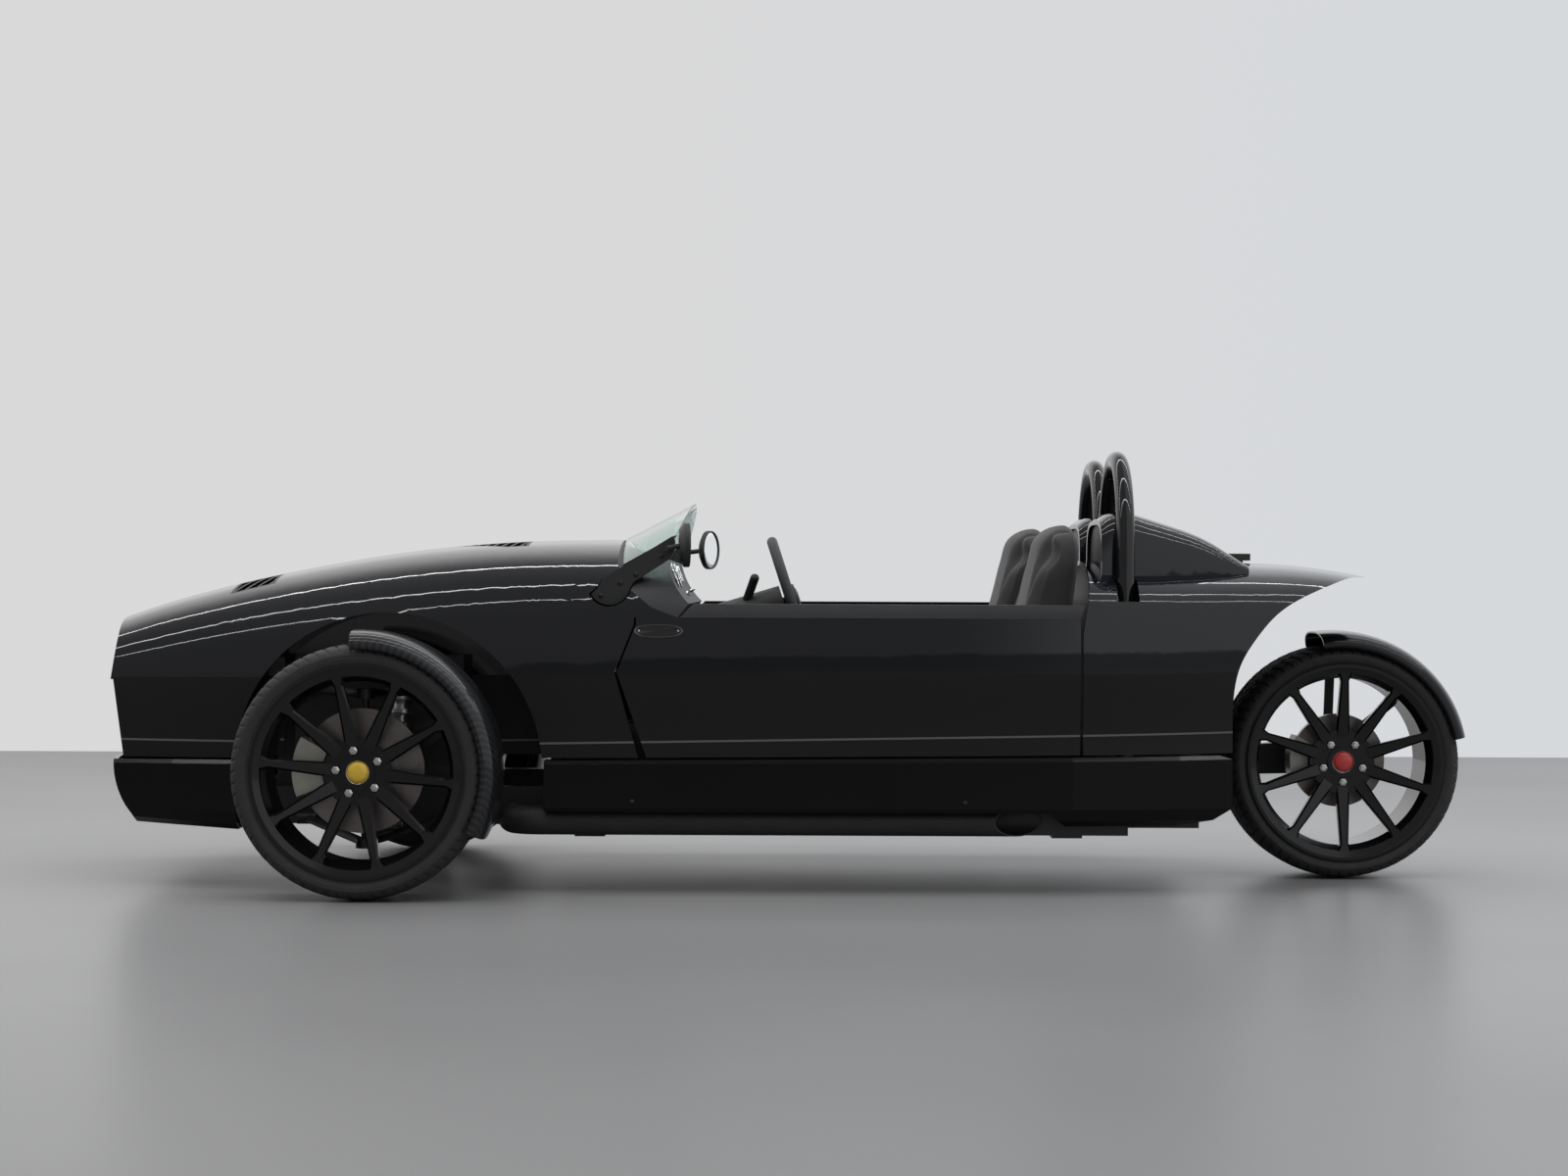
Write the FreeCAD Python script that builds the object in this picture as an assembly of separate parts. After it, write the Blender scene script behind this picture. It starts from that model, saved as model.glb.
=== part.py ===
import FreeCAD, Part
import math
import os

# A three wheeled open two seat car: two steered and driven wheels in front, one wheel behind.
# Millimetres. +X points to the rear, +Y to the car's right side, +Z up.
# The origin is on the floor, under the middle of the car.

Vector = FreeCAD.Vector
X_AXIS = Vector(1, 0, 0)
Y_AXIS = Vector(0, 1, 0)
Z_AXIS = Vector(0, 0, 1)
LEFT = -1
RIGHT = 1

# Layout of the whole car
wheelbase = 2635.0
front_axle_x = -1107.0
front_track = 1514.0
nose_x = -1862.0
body_length = 3419.0
body_half_width = 645.0
hood_height = 935.0
ground_clearance = 150.0
skin_wall = 12.0
panel_gap = 5.5
door_rear_gap = 7.5
seat_gap = 0.3
overrun = 60.0

rear_axle_x = front_axle_x + wheelbase
wheel_y = front_track / 2

# Body envelope: each row is a station along the body, as shares of the body length, the half width
# and the hood height, then the power that squares the shoulder
envelope_shares = [
    (-0.030, 0.610, 0.535, 0.712, 2.9),
    (0.005, 0.668, 0.548, 0.764, 2.9),
    (0.063, 0.760, 0.578, 0.832, 2.8),
    (0.136, 0.853, 0.620, 0.896, 2.7),
    (0.224, 0.930, 0.655, 0.954, 2.6),
    (0.312, 0.977, 0.685, 0.987, 2.6),
    (0.400, 0.995, 0.706, 0.996, 2.6),
    (0.480, 1.000, 0.722, 0.994, 2.6),
    (0.620, 1.000, 0.735, 0.966, 2.7),
    (0.757, 0.986, 0.749, 0.941, 2.9),
    (0.840, 0.925, 0.749, 0.937, 2.9),
    (0.898, 0.832, 0.759, 0.937, 2.8),
    (0.957, 0.710, 0.770, 0.926, 2.7),
    (1.015, 0.575, 0.786, 0.892, 2.6),
]
sill_line_front_z = 343.0
sill_line_rear_z = 375.0
side_draft = 6.0
arc_steps_share = (0.0, 0.17, 0.34, 0.5, 0.66, 0.83, 1.0)

# Nose face, as a profile turned about a far upright axis
nose_plan_radius = 2450.0
nose_top_z = 668.0
nose_top_back = 18.0
nose_lip_z = 549.0
nose_lip_step = 7.0
nose_foot_back = 35.0
nose_corner_radius = 26.0

# Front wheel arch in the body side
arch_radius = 410.0
arch_behind_axle = 42.0
arch_z = 322.0
arch_inner_y = 440.0
arch_liner = 8.0
arch_window_half_length = 250.0
arch_window_top_z = 620.0

# Grille mouth and headlamps in the nose
mouth_half_width = 262.0
mouth_bottom_z = 382.0
mouth_top_z = 536.0
mouth_corner = 58.0
grille_depth = 70.0
slat_count = 7
slat_thick = 8.0
lamp_radius = 50.0
lamp_y = 340.0
lamp_z = 474.0
lamp_depth = 70.0
lamp_set_back = 4.0

# Louvred vents in the hood: each outline in plan as shares of the vent's length and width
rear_vent_x = -930.0
rear_vent_length = 210.0
rear_vent_inner_y = 130.0
rear_vent_width = 170.0
rear_vent_shares = ((0.0, 0.18), (1.0, 0.0), (1.0, 1.0), (0.71, 1.0))
front_vent_x = -1520.0
front_vent_length = 120.0
front_vent_inner_y = 180.0
front_vent_width = 170.0
front_vent_shares = ((0.0, 0.0), (1.0, 0.0), (1.0, 1.0), (0.0, 1.0))
vent_low_z = 700.0
vent_border = 9.0
vent_pitch = 25.0
vent_blade = 7.0
vent_lean_deg = 45.0

# Doors: outline of the opening in the side view
door_thickness = 62.0
door_top_z = 722.0
trim_height = 36.0
trim_proud = 2.0
trim_round = 13.0
door_front_top_x = -303.0
door_front_notch_x = -417.0
door_front_notch_z = 704.0
door_front_low_x = -467.0
door_front_low_z = 579.0
door_front_foot_x = -389.0
door_rear_x = 754.0
door_rear_top_x = 766.0
trim_front_x = -269.0

# Cowl and dash
hood_rear_x = -467.0
cowl_seam_top_z = 860.0
cowl_seam_x = -432.0
cowl_seam_z = 796.0
cowl_seam_mid_x = -372.0
cowl_seam_mid_z = 748.0
dash_top_x = -331.0
dash_top_z = 868.0
dash_mid_x = -311.0
dash_mid_z = 805.0
dash_bottom_z = 660.0
dash_foot_x = -307.0
dash_depth = 150.0

# Rear body, its fairing and its wheel arch
bulkhead_lean_x = 813.0
bulkhead_top_z = 1000.0
fairing_length = 405.0
fairing_half_width = 205.0
fairing_height = 1006.0
fairing_base_z = 840.0
fairing_power = 4.2
fairing_shares = [
    (0.00, 1.00, 0.980),
    (0.20, 0.97, 1.000),
    (0.36, 0.92, 0.982),
    (0.57, 0.82, 0.955),
    (0.80, 0.68, 0.912),
    (1.00, 0.52, 0.862),
]
# The rear wheel's opening: its edge from the foot up to the tail, as shares of its length and height
rear_arch_front_x = 1155.0
rear_arch_length = 420.0
rear_arch_low_z = 467.0
rear_arch_height = 373.5
rear_arch_liner = 8.0
rear_arch_shares = [
    (0.000, 0.000),
    (0.009, 0.174),
    (0.045, 0.347),
    (0.157, 0.553),
    (0.302, 0.726),
    (0.456, 0.830),
    (0.679, 0.928),
    (0.881, 0.986),
    (1.000, 0.986),
]

# Lower skirts: the nose valance and the side sills
skirt_proud = 10.0
skirt_gap = 6.0
skirt_turn = 46.0
valance_bottom_front_z = 178.0
valance_bottom_rear_z = 155.0
valance_rear_x = -1469.0
valance_bracket = 40.0
sill_front_x = -650.0
sill_rear_x = 1163.0
sill_bottom_z = 180.0
sill_tray_width = 130.0
pipe_channel_top_z = 216.0
pipe_channel_end_x = 663.0
pipe_channel_ramp = 62.0

# Side exhaust pipes
pipe_radius = 38.0
pipe_wall = 3.0
pipe_clearance = 8.0
pipe_y = 577.0
pipe_z = 189.0
pipe_front_x = -667.0
pipe_tip_x = 655.0
pipe_tip_slash = 132.0
pipe_elbow_radius = 75.0
hanger_length = 40.0
hanger_thick = 14.0
hanger_shares = (0.18, 0.80)

# Chassis tub
floor_thick = 20.0
floor_rear_x = 883.0
firewall_x = -637.0
firewall_thick = 25.0
floor_half_width = 530.0
side_rail_inner_y = 523.0
side_rail_outer_y = 563.0
side_rail_bottom_z = 232.0
side_rail_top_z = 345.0
side_rail_rear_x = 1073.0
front_rail_inner_y = 360.0
front_rail_outer_y = 420.0
front_rail_bottom_z = 165.0
front_rail_top_z = 265.0
front_rail_front_x = -1460.0
cross_member = 60.0
tower_half_length = 225.0
tower_top_z = 640.0
tower_thick = 22.0
tunnel_half_width = 70.0
tunnel_top_z = 330.0
bulkhead_x = 823.0
bulkhead_thick = 25.0
jack_pad = 80.0
jack_pad_drop = 8.0
jack_front_x = -537.0
jack_rear_x = 723.0
jack_y = 480.0

# Roll hoops
hoop_tube_radius = 24.0
hoop_x = 873.0
hoop_y = 300.0
hoop_leg_half_gap = 237.5
hoop_top_z = 1174.0
hoop_foot_z = side_rail_top_z
hoop_clearance = 4.0
hoop_notch_radius = 30.0
hoop_notch_floor_z = 768.0
hoop_beam_depth = 60.0
hoop_beam_height = 50.0

# Windscreen
screen_y = 570.0
bar_front_x = -532.0
bar_length = 218.0
bar_bottom_z = 754.0
bar_height = 181.0
bar_thick = 28.0
glass_thick = 6.0
glass_base_x = -461.0
glass_base_side_x = -449.0
glass_base_side_z = 860.0
glass_base_crown_z = 937.0
glass_top_x = -275.0
glass_top_side_x = -311.0
glass_top_side_z = 938.0
glass_top_crown_z = 1034.0

# The windscreen bar's outline as shares of its length and height: the strip from heel to rear end,
# its underside, then the round foot
bar_heel_share = (0.140, 0.379)
bar_top_share = (0.978, 1.000)
bar_end_shares = ((0.999, 0.969), (0.995, 0.775), (0.944, 0.666))
bar_neck_shares = ((0.596, 0.394), (0.505, 0.313), (0.461, 0.204))
bar_foot_shares = ((0.202, 0.000), (0.000, 0.157))
bar_toe_share = (0.111, 0.300)

# Door mirrors on the windscreen bars
mirror_radius = 58.0
mirror_thick = 22.0
mirror_dome_share = 0.7
mirror_left_x = -289.0
mirror_right_x = -258.0
mirror_z = 911.0
mirror_y = 612.0
mirror_left_turn_deg = 6.0
mirror_right_turn_deg = 23.0
mirror_stalk_radius = 7.0
mirror_foot_share = (0.904, 0.815)

# Seats
seat_y = 300.0
seat_width = 440.0
seat_top_z = 1000.0
seat_top_x = 650.0
seat_back_thick = 75.0
seat_back_lean_deg = 9.5
seat_cushion_front_x = 133.0
seat_cushion_top_z = 345.0
seat_round = 45.0
seat_shoulder_round = 95.0
seat_bolster_width = 58.0
seat_bolster_proud = 30.0
seat_bolster_top_z = 900.0
seat_right_ahead = 40.0

# Steering wheel and column
wheel_ring_radius = 178.0
wheel_ring_tube = 14.0
wheel_hub_x = -9.0
wheel_hub_z = 768.0
wheel_tilt_deg = 18.0
wheel_hub_radius = 42.0
wheel_hub_thick = 26.0
wheel_spoke_width = 34.0
wheel_spoke_thick = 8.0
wheel_spoke_count = 3
column_radius = 46.0
column_gap = 6.0
column_sink = 30.0
column_flare_share = 1.15
steering_shaft_radius = 12.0
steering_shaft_length = 70.0
lever_set_back = 121.0
lever_lean = 36.0
lever_out = 55.0
lever_rise = 101.0
lever_radius = 12.0

# Road wheels
front_tyre_radius = 327.0
front_tyre_half_width = 112.5
rear_tyre_radius = 323.5
rear_tyre_half_width = 142.5
rim_radius = 271.0
rim_bead_radius = 254.0
rim_barrel_radius = 246.0
rim_well_radius = 232.0
rim_wall = 7.0
rim_lip = 8.0
rim_bead_seat = 32.0
rim_barrel_inset = 24.0
rim_well_inset = 56.0
spoke_count = 10
spoke_root_width = 39.0
spoke_neck_width = 23.0
spoke_tip_width = 40.0
spoke_neck_share = 0.86
spoke_bevel = 5.0
spoke_depth = 24.0
hub_pad_radius = 88.0
hub_pad_depth = 26.0
hub_pad_set_back = 43.0
stud_circle_radius = 57.15
stud_count = 5
stud_pocket_radius = 12.5
stud_pocket_depth = 16.0
cap_radius = 31.0
cap_recess = 5.0
cap_boss_radius = 43.0
cap_boss_proud = 7.0
front_spoke_phase_deg = -6.0
front_stud_phase_deg = 30.0
rear_spoke_phase_deg = -90.0
rear_stud_phase_deg = 54.0

# Tyre section: shares of the half width, and of the drop from crown to shoulder
tyre_wall = 12.0
tyre_crown_share = 0.72
tyre_shoulder_share = 0.28
tyre_round_width_share = 0.90
tyre_round_drop_share = 0.28
tyre_side_width_share = 0.985
tyre_bulge_drop_share = 2.1
tyre_flare_share = 0.4
tyre_inside_share = 0.8

# Brakes and hubs
disc_radius = 160.0
rear_disc_radius = 130.0
disc_thick = 24.0
disc_hat_radius = 86.0
disc_hat_wall = 8.0
disc_set_back = 52.0
hub_flange_thick = 12.0
spindle_radius = 24.0
spindle_clearance = 0.06
front_caliper_radial = 62.0
rear_caliper_radial = 40.0
caliper_width = 92.0
caliper_arc_deg = 52.0
caliper_front_mid_deg = 176.0
caliper_gap = 1.0
caliper_roof_gap = 4.0
caliper_over_share = 0.25
caliper_bracket_thick = 14.0
caliper_bracket_height = 70.0

# Front suspension
kingpin_y = 690.0
knuckle_upper_z = 510.0
knuckle_lower_z = 150.0
knuckle_width = 44.0
knuckle_thick = 30.0
ball_stem_radius = 10.0
ball_stem_length = 35.0
bearing_radius = 58.0
arm_pad_radius = 24.0
arm_pad_thick = 26.0
arm_tube_radius = 11.0
arm_pivot_half_span = 190.0
arm_bush_radius = 16.0
arm_bush_length = 50.0
steering_arm_length = 120.0
steering_arm_width = 26.0
steering_arm_thick = 16.0
steering_arm_z = 236.0
damper_behind_axle = 62.0
damper_radius = 34.0
damper_body_radius = 22.0
damper_low_y = 596.0
damper_high_y = 452.0
damper_high_z = 592.0
damper_mount_thick = 12.0
damper_rod_radius = 10.0
coil_turns = 7
coil_wire_radius = 5.0
coil_start_share = 0.25
coil_span_share = 0.6
shaft_radius = 13.0
boot_radius = 32.0
shaft_z = 327.0

# Mudguards over the wheels
guard_wall = 4.0
guard_power = 2.8
guard_lap = 12.0
guard_seat_gap = 0.8
front_guard_radius = 363.0
front_guard_half_width = 122.0
front_guard_edge_drop = 46.0
front_guard_low_deg = -28.0
front_guard_high_deg = 93.0
rear_guard_radius = 364.0
rear_guard_half_width = 154.0
rear_guard_edge_drop = 44.0
rear_guard_ahead = 12.0
rear_guard_low_deg = 11.6
rear_guard_high_deg = 99.0
front_fork_deg = (-6.0, 30.0)
rear_strut_deg = (88.0, 40.0)
guard_strut_width = 26.0
guard_strut_thick = 8.0

# Engine block
engine_front_x = -1395.0
engine_length = 500.0
engine_half_width = 325.0
engine_bottom_z = 225.0
engine_top_z = 640.0
engine_mount = 80.0

# Swing arm
swing_pivot_x = 1038.0
swing_pivot_z = 300.0
swing_pivot_radius = 34.0
swing_pivot_half_length = 240.0
swing_arm_y = 205.0
swing_arm_thick = 56.0
swing_arm_height = 96.0
swing_hub_radius = 78.0
pivot_plate_thick = 24.0

# Rear lamps
stop_lamp_x = 1229.0
stop_lamp_length = 75.0
stop_lamp_height = 19.0
stop_lamp_half_width = 110.0
stop_lamp_z = 881.0
stop_lamp_foot = 30.0
tail_lamp_radius = 36.0
tail_lamp_y = 462.0
tail_lamp_z = 590.0
tail_lamp_depth = 50.0
tail_lamp_proud = 2.0


def box(x0, x1, y0, y1, z0, z1):
    low = Vector(min(x0, x1), min(y0, y1), min(z0, z1))
    return Part.makeBox(abs(x1 - x0), abs(y1 - y0), abs(z1 - z0), low)


def mirrored(shape):
    return shape.mirror(Vector(0, 0, 0), Y_AXIS)


def fused(shapes):
    whole = shapes[0].fuse(shapes[1:]) if len(shapes) > 1 else shapes[0]
    return whole.removeSplitter()


def cylinder_y(radius, y0, y1, x, z):
    return Part.makeCylinder(radius, abs(y1 - y0), Vector(x, min(y0, y1), z), Y_AXIS)


def rod(radius, start, end):
    along = end.sub(start)
    return Part.makeCylinder(radius, along.Length, start, along)


def side_prism(points, y0, y1):
    # A closed outline in the side view, drawn out across the car
    corners = [Vector(x, y0, z) for x, z in points]
    face = Part.Face(Part.makePolygon(corners + corners[:1]))
    return face.extrude(Vector(0, y1 - y0, 0))


def along_body(share):
    return nose_x + share * body_length


def sill_line_z(x):
    share = (x - nose_x) / body_length
    return sill_line_front_z + share * (sill_line_rear_z - sill_line_front_z)


def spline_section(x, half_points, bottom_z):
    # A closed section across the car: a smooth arch over a straight bottom edge
    arch = [Vector(x, -y, z) for y, z in half_points]
    arch += [Vector(x, y, z) for y, z in reversed(half_points[:-1])]
    curve = Part.BSplineCurve()
    curve.interpolate(arch)
    edges = [curve.toShape()]
    left, right = arch[0], arch[-1]
    if left.z > bottom_z:
        low_left = Vector(x, left.y, bottom_z)
        low_right = Vector(x, right.y, bottom_z)
        edges += Part.makePolygon([right, low_right, low_left, left]).Edges
    else:
        edges.append(Part.makeLine(right, left))
    return Part.Wire(edges)


def arch_half(half_width, foot_z, shoulder_z, crown_z, power, foot_draft):
    # Half of the arch from the foot of the side to the crown, as a squared ellipse above the shoulder
    points = [(half_width - foot_draft, foot_z)]
    points.append((half_width - foot_draft / 4, (foot_z + shoulder_z) / 2))
    for share in arc_steps_share:
        angle = share * math.pi / 2
        across = max(0.0, math.cos(angle)) ** (2 / power) if share < 1 else 0.0
        up = math.sin(angle) ** (2 / power)
        points.append((half_width * across, shoulder_z + (crown_z - shoulder_z) * up))
    return points


def envelope(inset, open_below):
    # The whole body's outer form, or the same form a wall's thickness inside it
    wires = []
    for place, width, shoulder, crown, power in envelope_shares:
        x = along_body(place)
        foot = sill_line_z(x)
        half = arch_half(
            body_half_width * width - inset,
            foot,
            hood_height * shoulder,
            hood_height * crown - inset,
            power,
            side_draft,
        )
        wires.append(spline_section(x, half, foot - open_below))
    return Part.makeLoft(wires, True, False)


def nose_face(inset):
    # What lies behind the nose face: an upright profile turned about a far axis
    axis_x = nose_x + nose_plan_radius
    reach = nose_plan_radius - inset
    top = Vector(axis_x - reach + nose_top_back, 0, nose_top_z)
    lip = Vector(axis_x - reach, 0, nose_lip_z)
    under = Vector(axis_x - reach + nose_lip_step, 0, nose_lip_z)
    foot = Vector(axis_x - reach + nose_foot_back, 0, sill_line_front_z)
    high = Vector(top.x + nose_corner_radius, 0, hood_height)
    low = Vector(foot.x, 0, sill_line_front_z - overrun)
    edges = [
        Part.makeLine(Vector(axis_x, 0, low.z), low),
        Part.makeLine(low, foot),
        Part.makeLine(foot, under),
        Part.makeLine(under, lip),
        Part.makeLine(lip, top),
        Part.makeLine(top, high),
        Part.makeLine(high, Vector(axis_x, 0, high.z)),
        Part.makeLine(Vector(axis_x, 0, high.z), Vector(axis_x, 0, low.z)),
    ]
    face = Part.Face(Part.Wire(edges))
    return face.revolve(Vector(axis_x, 0, 0), Z_AXIS, 360)


def door_outline(gap):
    # The door's outline in the side view, taken in by a gap at the front, foot and rear
    rear_foot = sill_line_z(door_rear_x)
    front_foot = sill_line_z(door_front_foot_x)
    return [
        (door_front_top_x + gap, door_top_z),
        (door_front_notch_x + gap, door_top_z),
        (door_front_notch_x + gap, door_front_notch_z),
        (door_front_low_x + gap, door_front_low_z),
        (door_front_foot_x + gap, front_foot),
        (door_rear_x - door_rear_gap, rear_foot),
        (door_rear_x - door_rear_gap, door_top_z),
    ]


def cockpit_opening():
    # Everything behind the hood, the cowl seam and the door's front edge, in front of the rear body
    far = along_body(1) + body_half_width
    return side_prism(
        [
            (hood_rear_x, hood_height + overrun),
            (hood_rear_x, cowl_seam_top_z),
            (cowl_seam_x, cowl_seam_z),
            (cowl_seam_mid_x, cowl_seam_mid_z),
            (door_front_top_x, door_top_z),
            (door_front_notch_x, door_top_z),
            (door_front_notch_x, door_front_notch_z),
            (door_front_low_x, door_front_low_z),
            (door_front_foot_x, sill_line_z(door_front_foot_x) - overrun),
            (far, sill_line_z(door_front_foot_x) - overrun),
            (far, hood_height + overrun),
        ],
        -body_half_width - overrun,
        body_half_width + overrun,
    )


def wheel_pocket(side, radius, inner_y):
    x = front_axle_x + arch_behind_axle
    return cylinder_y(radius, side * inner_y, side * (body_half_width + overrun), x, arch_z)


def mouth_prism(grow):
    # The grille mouth: a rounded slot drawn back through the nose
    half = mouth_half_width + grow
    low = mouth_bottom_z - grow
    high = mouth_top_z + grow
    corner = mouth_corner + grow
    slab = box(nose_x - overrun, nose_x + lamp_depth + overrun, -half, half, low, high)
    edges = [e for e in slab.Edges if abs(e.tangentAt(e.FirstParameter).x) > 0.9]
    return slab.makeFillet(corner, edges)


def lamp_bore(side, radius, depth):
    start = Vector(nose_x - overrun, side * lamp_y, lamp_z)
    return Part.makeCylinder(radius, overrun + depth, start, X_AXIS)


def front_body():
    outer = envelope(0, 0).common(nose_face(0))
    inner = envelope(skin_wall, overrun).common(nose_face(skin_wall))
    shell = outer.cut(inner)
    liners = []
    for side in (LEFT, RIGHT):
        outer_pocket = wheel_pocket(side, arch_radius + arch_liner, arch_inner_y - arch_liner)
        pocket = wheel_pocket(side, arch_radius, arch_inner_y)
        liners.append(outer_pocket.cut(pocket).common(outer))
    shell = shell.fuse(liners)
    for side in (LEFT, RIGHT):
        shell = shell.cut(wheel_pocket(side, arch_radius, arch_inner_y))
        window = box(
            front_axle_x - arch_window_half_length,
            front_axle_x + arch_window_half_length,
            side * (arch_inner_y - arch_liner * 2),
            side * (arch_inner_y + arch_liner),
            sill_line_front_z - overrun,
            arch_window_top_z,
        )
        shell = shell.cut(window)
        shell = shell.cut(lamp_bore(side, lamp_radius, lamp_depth))
    shell = shell.cut(mouth_prism(0))
    shell = shell.cut(cockpit_opening())
    for side in (LEFT, RIGHT):
        shell = shell.cut(bar_slot(side))
        for vent in hood_vent_sizes():
            shell = shell.cut(vent_prism(side, vent, 0))
    return shell.removeSplitter()


def hood_vent_sizes():
    return (
        (rear_vent_x, rear_vent_length, rear_vent_inner_y, rear_vent_width, rear_vent_shares),
        (front_vent_x, front_vent_length, front_vent_inner_y, front_vent_width, front_vent_shares),
    )


def vent_prism(side, vent, inset):
    # A vent's outline seen from above, taken in by an inset and drawn up through the hood
    x, length, inner_y, width, shares = vent
    corners = [Vector(x + a * length, side * (inner_y + b * width), vent_low_z) for a, b in shares]
    face = Part.Face(Part.makePolygon(corners + corners[:1]))
    if inset:
        face = face.makeOffset2D(-inset, 2)
    return face.extrude(Vector(0, 0, hood_height + overrun - vent_low_z))


def hood_vents():
    # Louvre panels as thick as the skin: slanted slots between blades, inside a plain border
    outer = envelope(0, 0)
    inner = envelope(skin_wall, overrun)
    high_z = hood_height + overrun
    rise = (high_z - vent_low_z) * math.tan(math.radians(vent_lean_deg))
    wide = body_half_width
    panels = []
    for vent in hood_vent_sizes():
        x, length, _, _, _ = vent
        slots = []
        for i in range(math.ceil((length + rise) / vent_pitch)):
            low_x = x - rise + i * vent_pitch
            open_x = low_x + vent_pitch - vent_blade
            foot = [(low_x, vent_low_z), (open_x, vent_low_z)]
            slots.append(side_prism(foot + [(open_x + rise, high_z), (low_x + rise, high_z)], -wide, wide))
        for side in (LEFT, RIGHT):
            panel = outer.common(vent_prism(side, vent, seat_gap)).cut(inner)
            window = vent_prism(side, vent, vent_border)
            panels.append(panel.cut([slot.common(window) for slot in slots]))
    return Part.makeCompound(panels)


def bar_point(share):
    return Vector(bar_front_x + share[0] * bar_length, 0, bar_bottom_z + share[1] * bar_height)


def bar_prism(side, grow, y0, y1):
    # The windscreen bar's outline in the side view: a raked strip on a wide round foot
    heel = bar_point(bar_heel_share)
    top = bar_point(bar_top_share)
    end = [bar_point(share) for share in bar_end_shares]
    neck = [bar_point(share) for share in bar_neck_shares]
    foot = [bar_point(share) for share in bar_foot_shares]
    edges = [
        Part.makeLine(heel, top),
        Part.makeLine(top, end[0]),
        Part.Arc(*end).toShape(),
        Part.makeLine(end[2], neck[0]),
        Part.Arc(*neck).toShape(),
        Part.Arc(neck[2], *foot).toShape(),
        Part.Arc(foot[1], bar_point(bar_toe_share), heel).toShape(),
    ]
    face = Part.Face(Part.Wire(edges))
    if grow:
        face = face.makeOffset2D(grow)
    face.translate(Vector(0, side * y0, 0))
    return face.extrude(Vector(0, side * (y1 - y0), 0))


def bar_slot(side):
    return bar_prism(side, hoop_clearance, screen_y - seat_gap, body_half_width + overrun)


def windscreen_frame():
    pieces = []
    for side in (LEFT, RIGHT):
        pieces.append(bar_prism(side, 0, screen_y, screen_y + bar_thick))
    return Part.makeCompound(pieces)


def windscreen_pane(grow):
    # A raked pane between two arches, as thick everywhere as its named thickness, straight down
    y = screen_y - seat_gap
    base = Part.Arc(
        Vector(glass_base_side_x, -y, glass_base_side_z),
        Vector(glass_base_x, 0, glass_base_crown_z),
        Vector(glass_base_side_x, y, glass_base_side_z),
    ).toShape()
    top = Part.Arc(
        Vector(glass_top_side_x, -y, glass_top_side_z),
        Vector(glass_top_x, 0, glass_top_crown_z),
        Vector(glass_top_side_x, y, glass_top_side_z),
    ).toShape()
    pane = Part.makeRuledSurface(base, top)
    pane.translate(Vector(0, 0, grow))
    return pane.extrude(Vector(0, 0, -glass_thick - 2 * grow))


def dash_panel():
    # The cowl pad and instrument panel: one section drawn across the car inside the body's form
    front_x = dash_top_x - dash_depth
    top_front = hood_height - skin_wall
    edges = [
        Part.Arc(
            Vector(dash_top_x, 0, dash_top_z),
            Vector(dash_mid_x, 0, dash_mid_z),
            Vector(trim_front_x - panel_gap, 0, door_top_z + trim_height),
        ).toShape(),
        Part.makeLine(
            Vector(trim_front_x - panel_gap, 0, door_top_z + trim_height),
            Vector(door_front_top_x, 0, door_top_z),
        ),
        Part.makeLine(Vector(door_front_top_x, 0, door_top_z), Vector(dash_foot_x, 0, dash_bottom_z)),
        Part.makeLine(Vector(dash_foot_x, 0, dash_bottom_z), Vector(front_x, 0, dash_bottom_z)),
        Part.makeLine(Vector(front_x, 0, dash_bottom_z), Vector(front_x, 0, top_front)),
        Part.makeLine(Vector(front_x, 0, top_front), Vector(dash_top_x, 0, dash_top_z)),
    ]
    face = Part.Face(Part.Wire(edges))
    face.translate(Vector(0, -body_half_width, 0))
    block = face.extrude(Vector(0, 2 * body_half_width, 0))
    inside = envelope(skin_wall + seat_gap, 0)
    behind_seam = envelope(0, 0).common(cockpit_opening())
    pad = block.common(inside.fuse(behind_seam))
    keep_half = side_rail_outer_y
    for side in (LEFT, RIGHT):
        below_seam = box(
            front_x - overrun,
            trim_front_x,
            side * keep_half,
            side * (body_half_width + overrun),
            dash_bottom_z - overrun,
            door_top_z,
        )
        pad = pad.cut(below_seam)
        pad = pad.cut(bar_slot(side))
    return pad.cut([column_shroud(seat_gap), windscreen_pane(seat_gap)])


def door(side):
    outline = side_prism(door_outline(panel_gap), side * overrun, side * (body_half_width + overrun))
    slab = envelope(0, 0).cut(envelope(door_thickness, overrun))
    return slab.common(outline)


def door_trim(side):
    outer = envelope(-trim_proud, 0)
    inner = envelope(door_thickness + trim_proud, overrun)
    ring = outer.cut(inner)
    top = door_top_z + trim_height
    rear = door_rear_x - door_rear_gap
    prism = side_prism(
        [
            (door_front_top_x + panel_gap, door_top_z),
            (trim_front_x + panel_gap, top),
            (rear + door_rear_top_x - door_rear_x, top),
            (rear, door_top_z),
        ],
        side * overrun,
        side * (body_half_width + overrun),
    )
    return ring.common(prism)


def fairing(inset, side):
    # The headrest fairing that trails behind one roll hoop
    wires = []
    for place, width, height in fairing_shares:
        x = bulkhead_lean_x + place * fairing_length
        half_width = fairing_half_width * width - inset
        crown = fairing_height * height - inset
        half = arch_half(half_width, fairing_base_z - overrun, fairing_base_z, crown, fairing_power, 0)
        wires.append(spline_section(x, half, fairing_base_z - overrun))
    hump = Part.makeLoft(wires, True, False)
    hump.translate(Vector(0, side * hoop_y, 0))
    return hump


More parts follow.
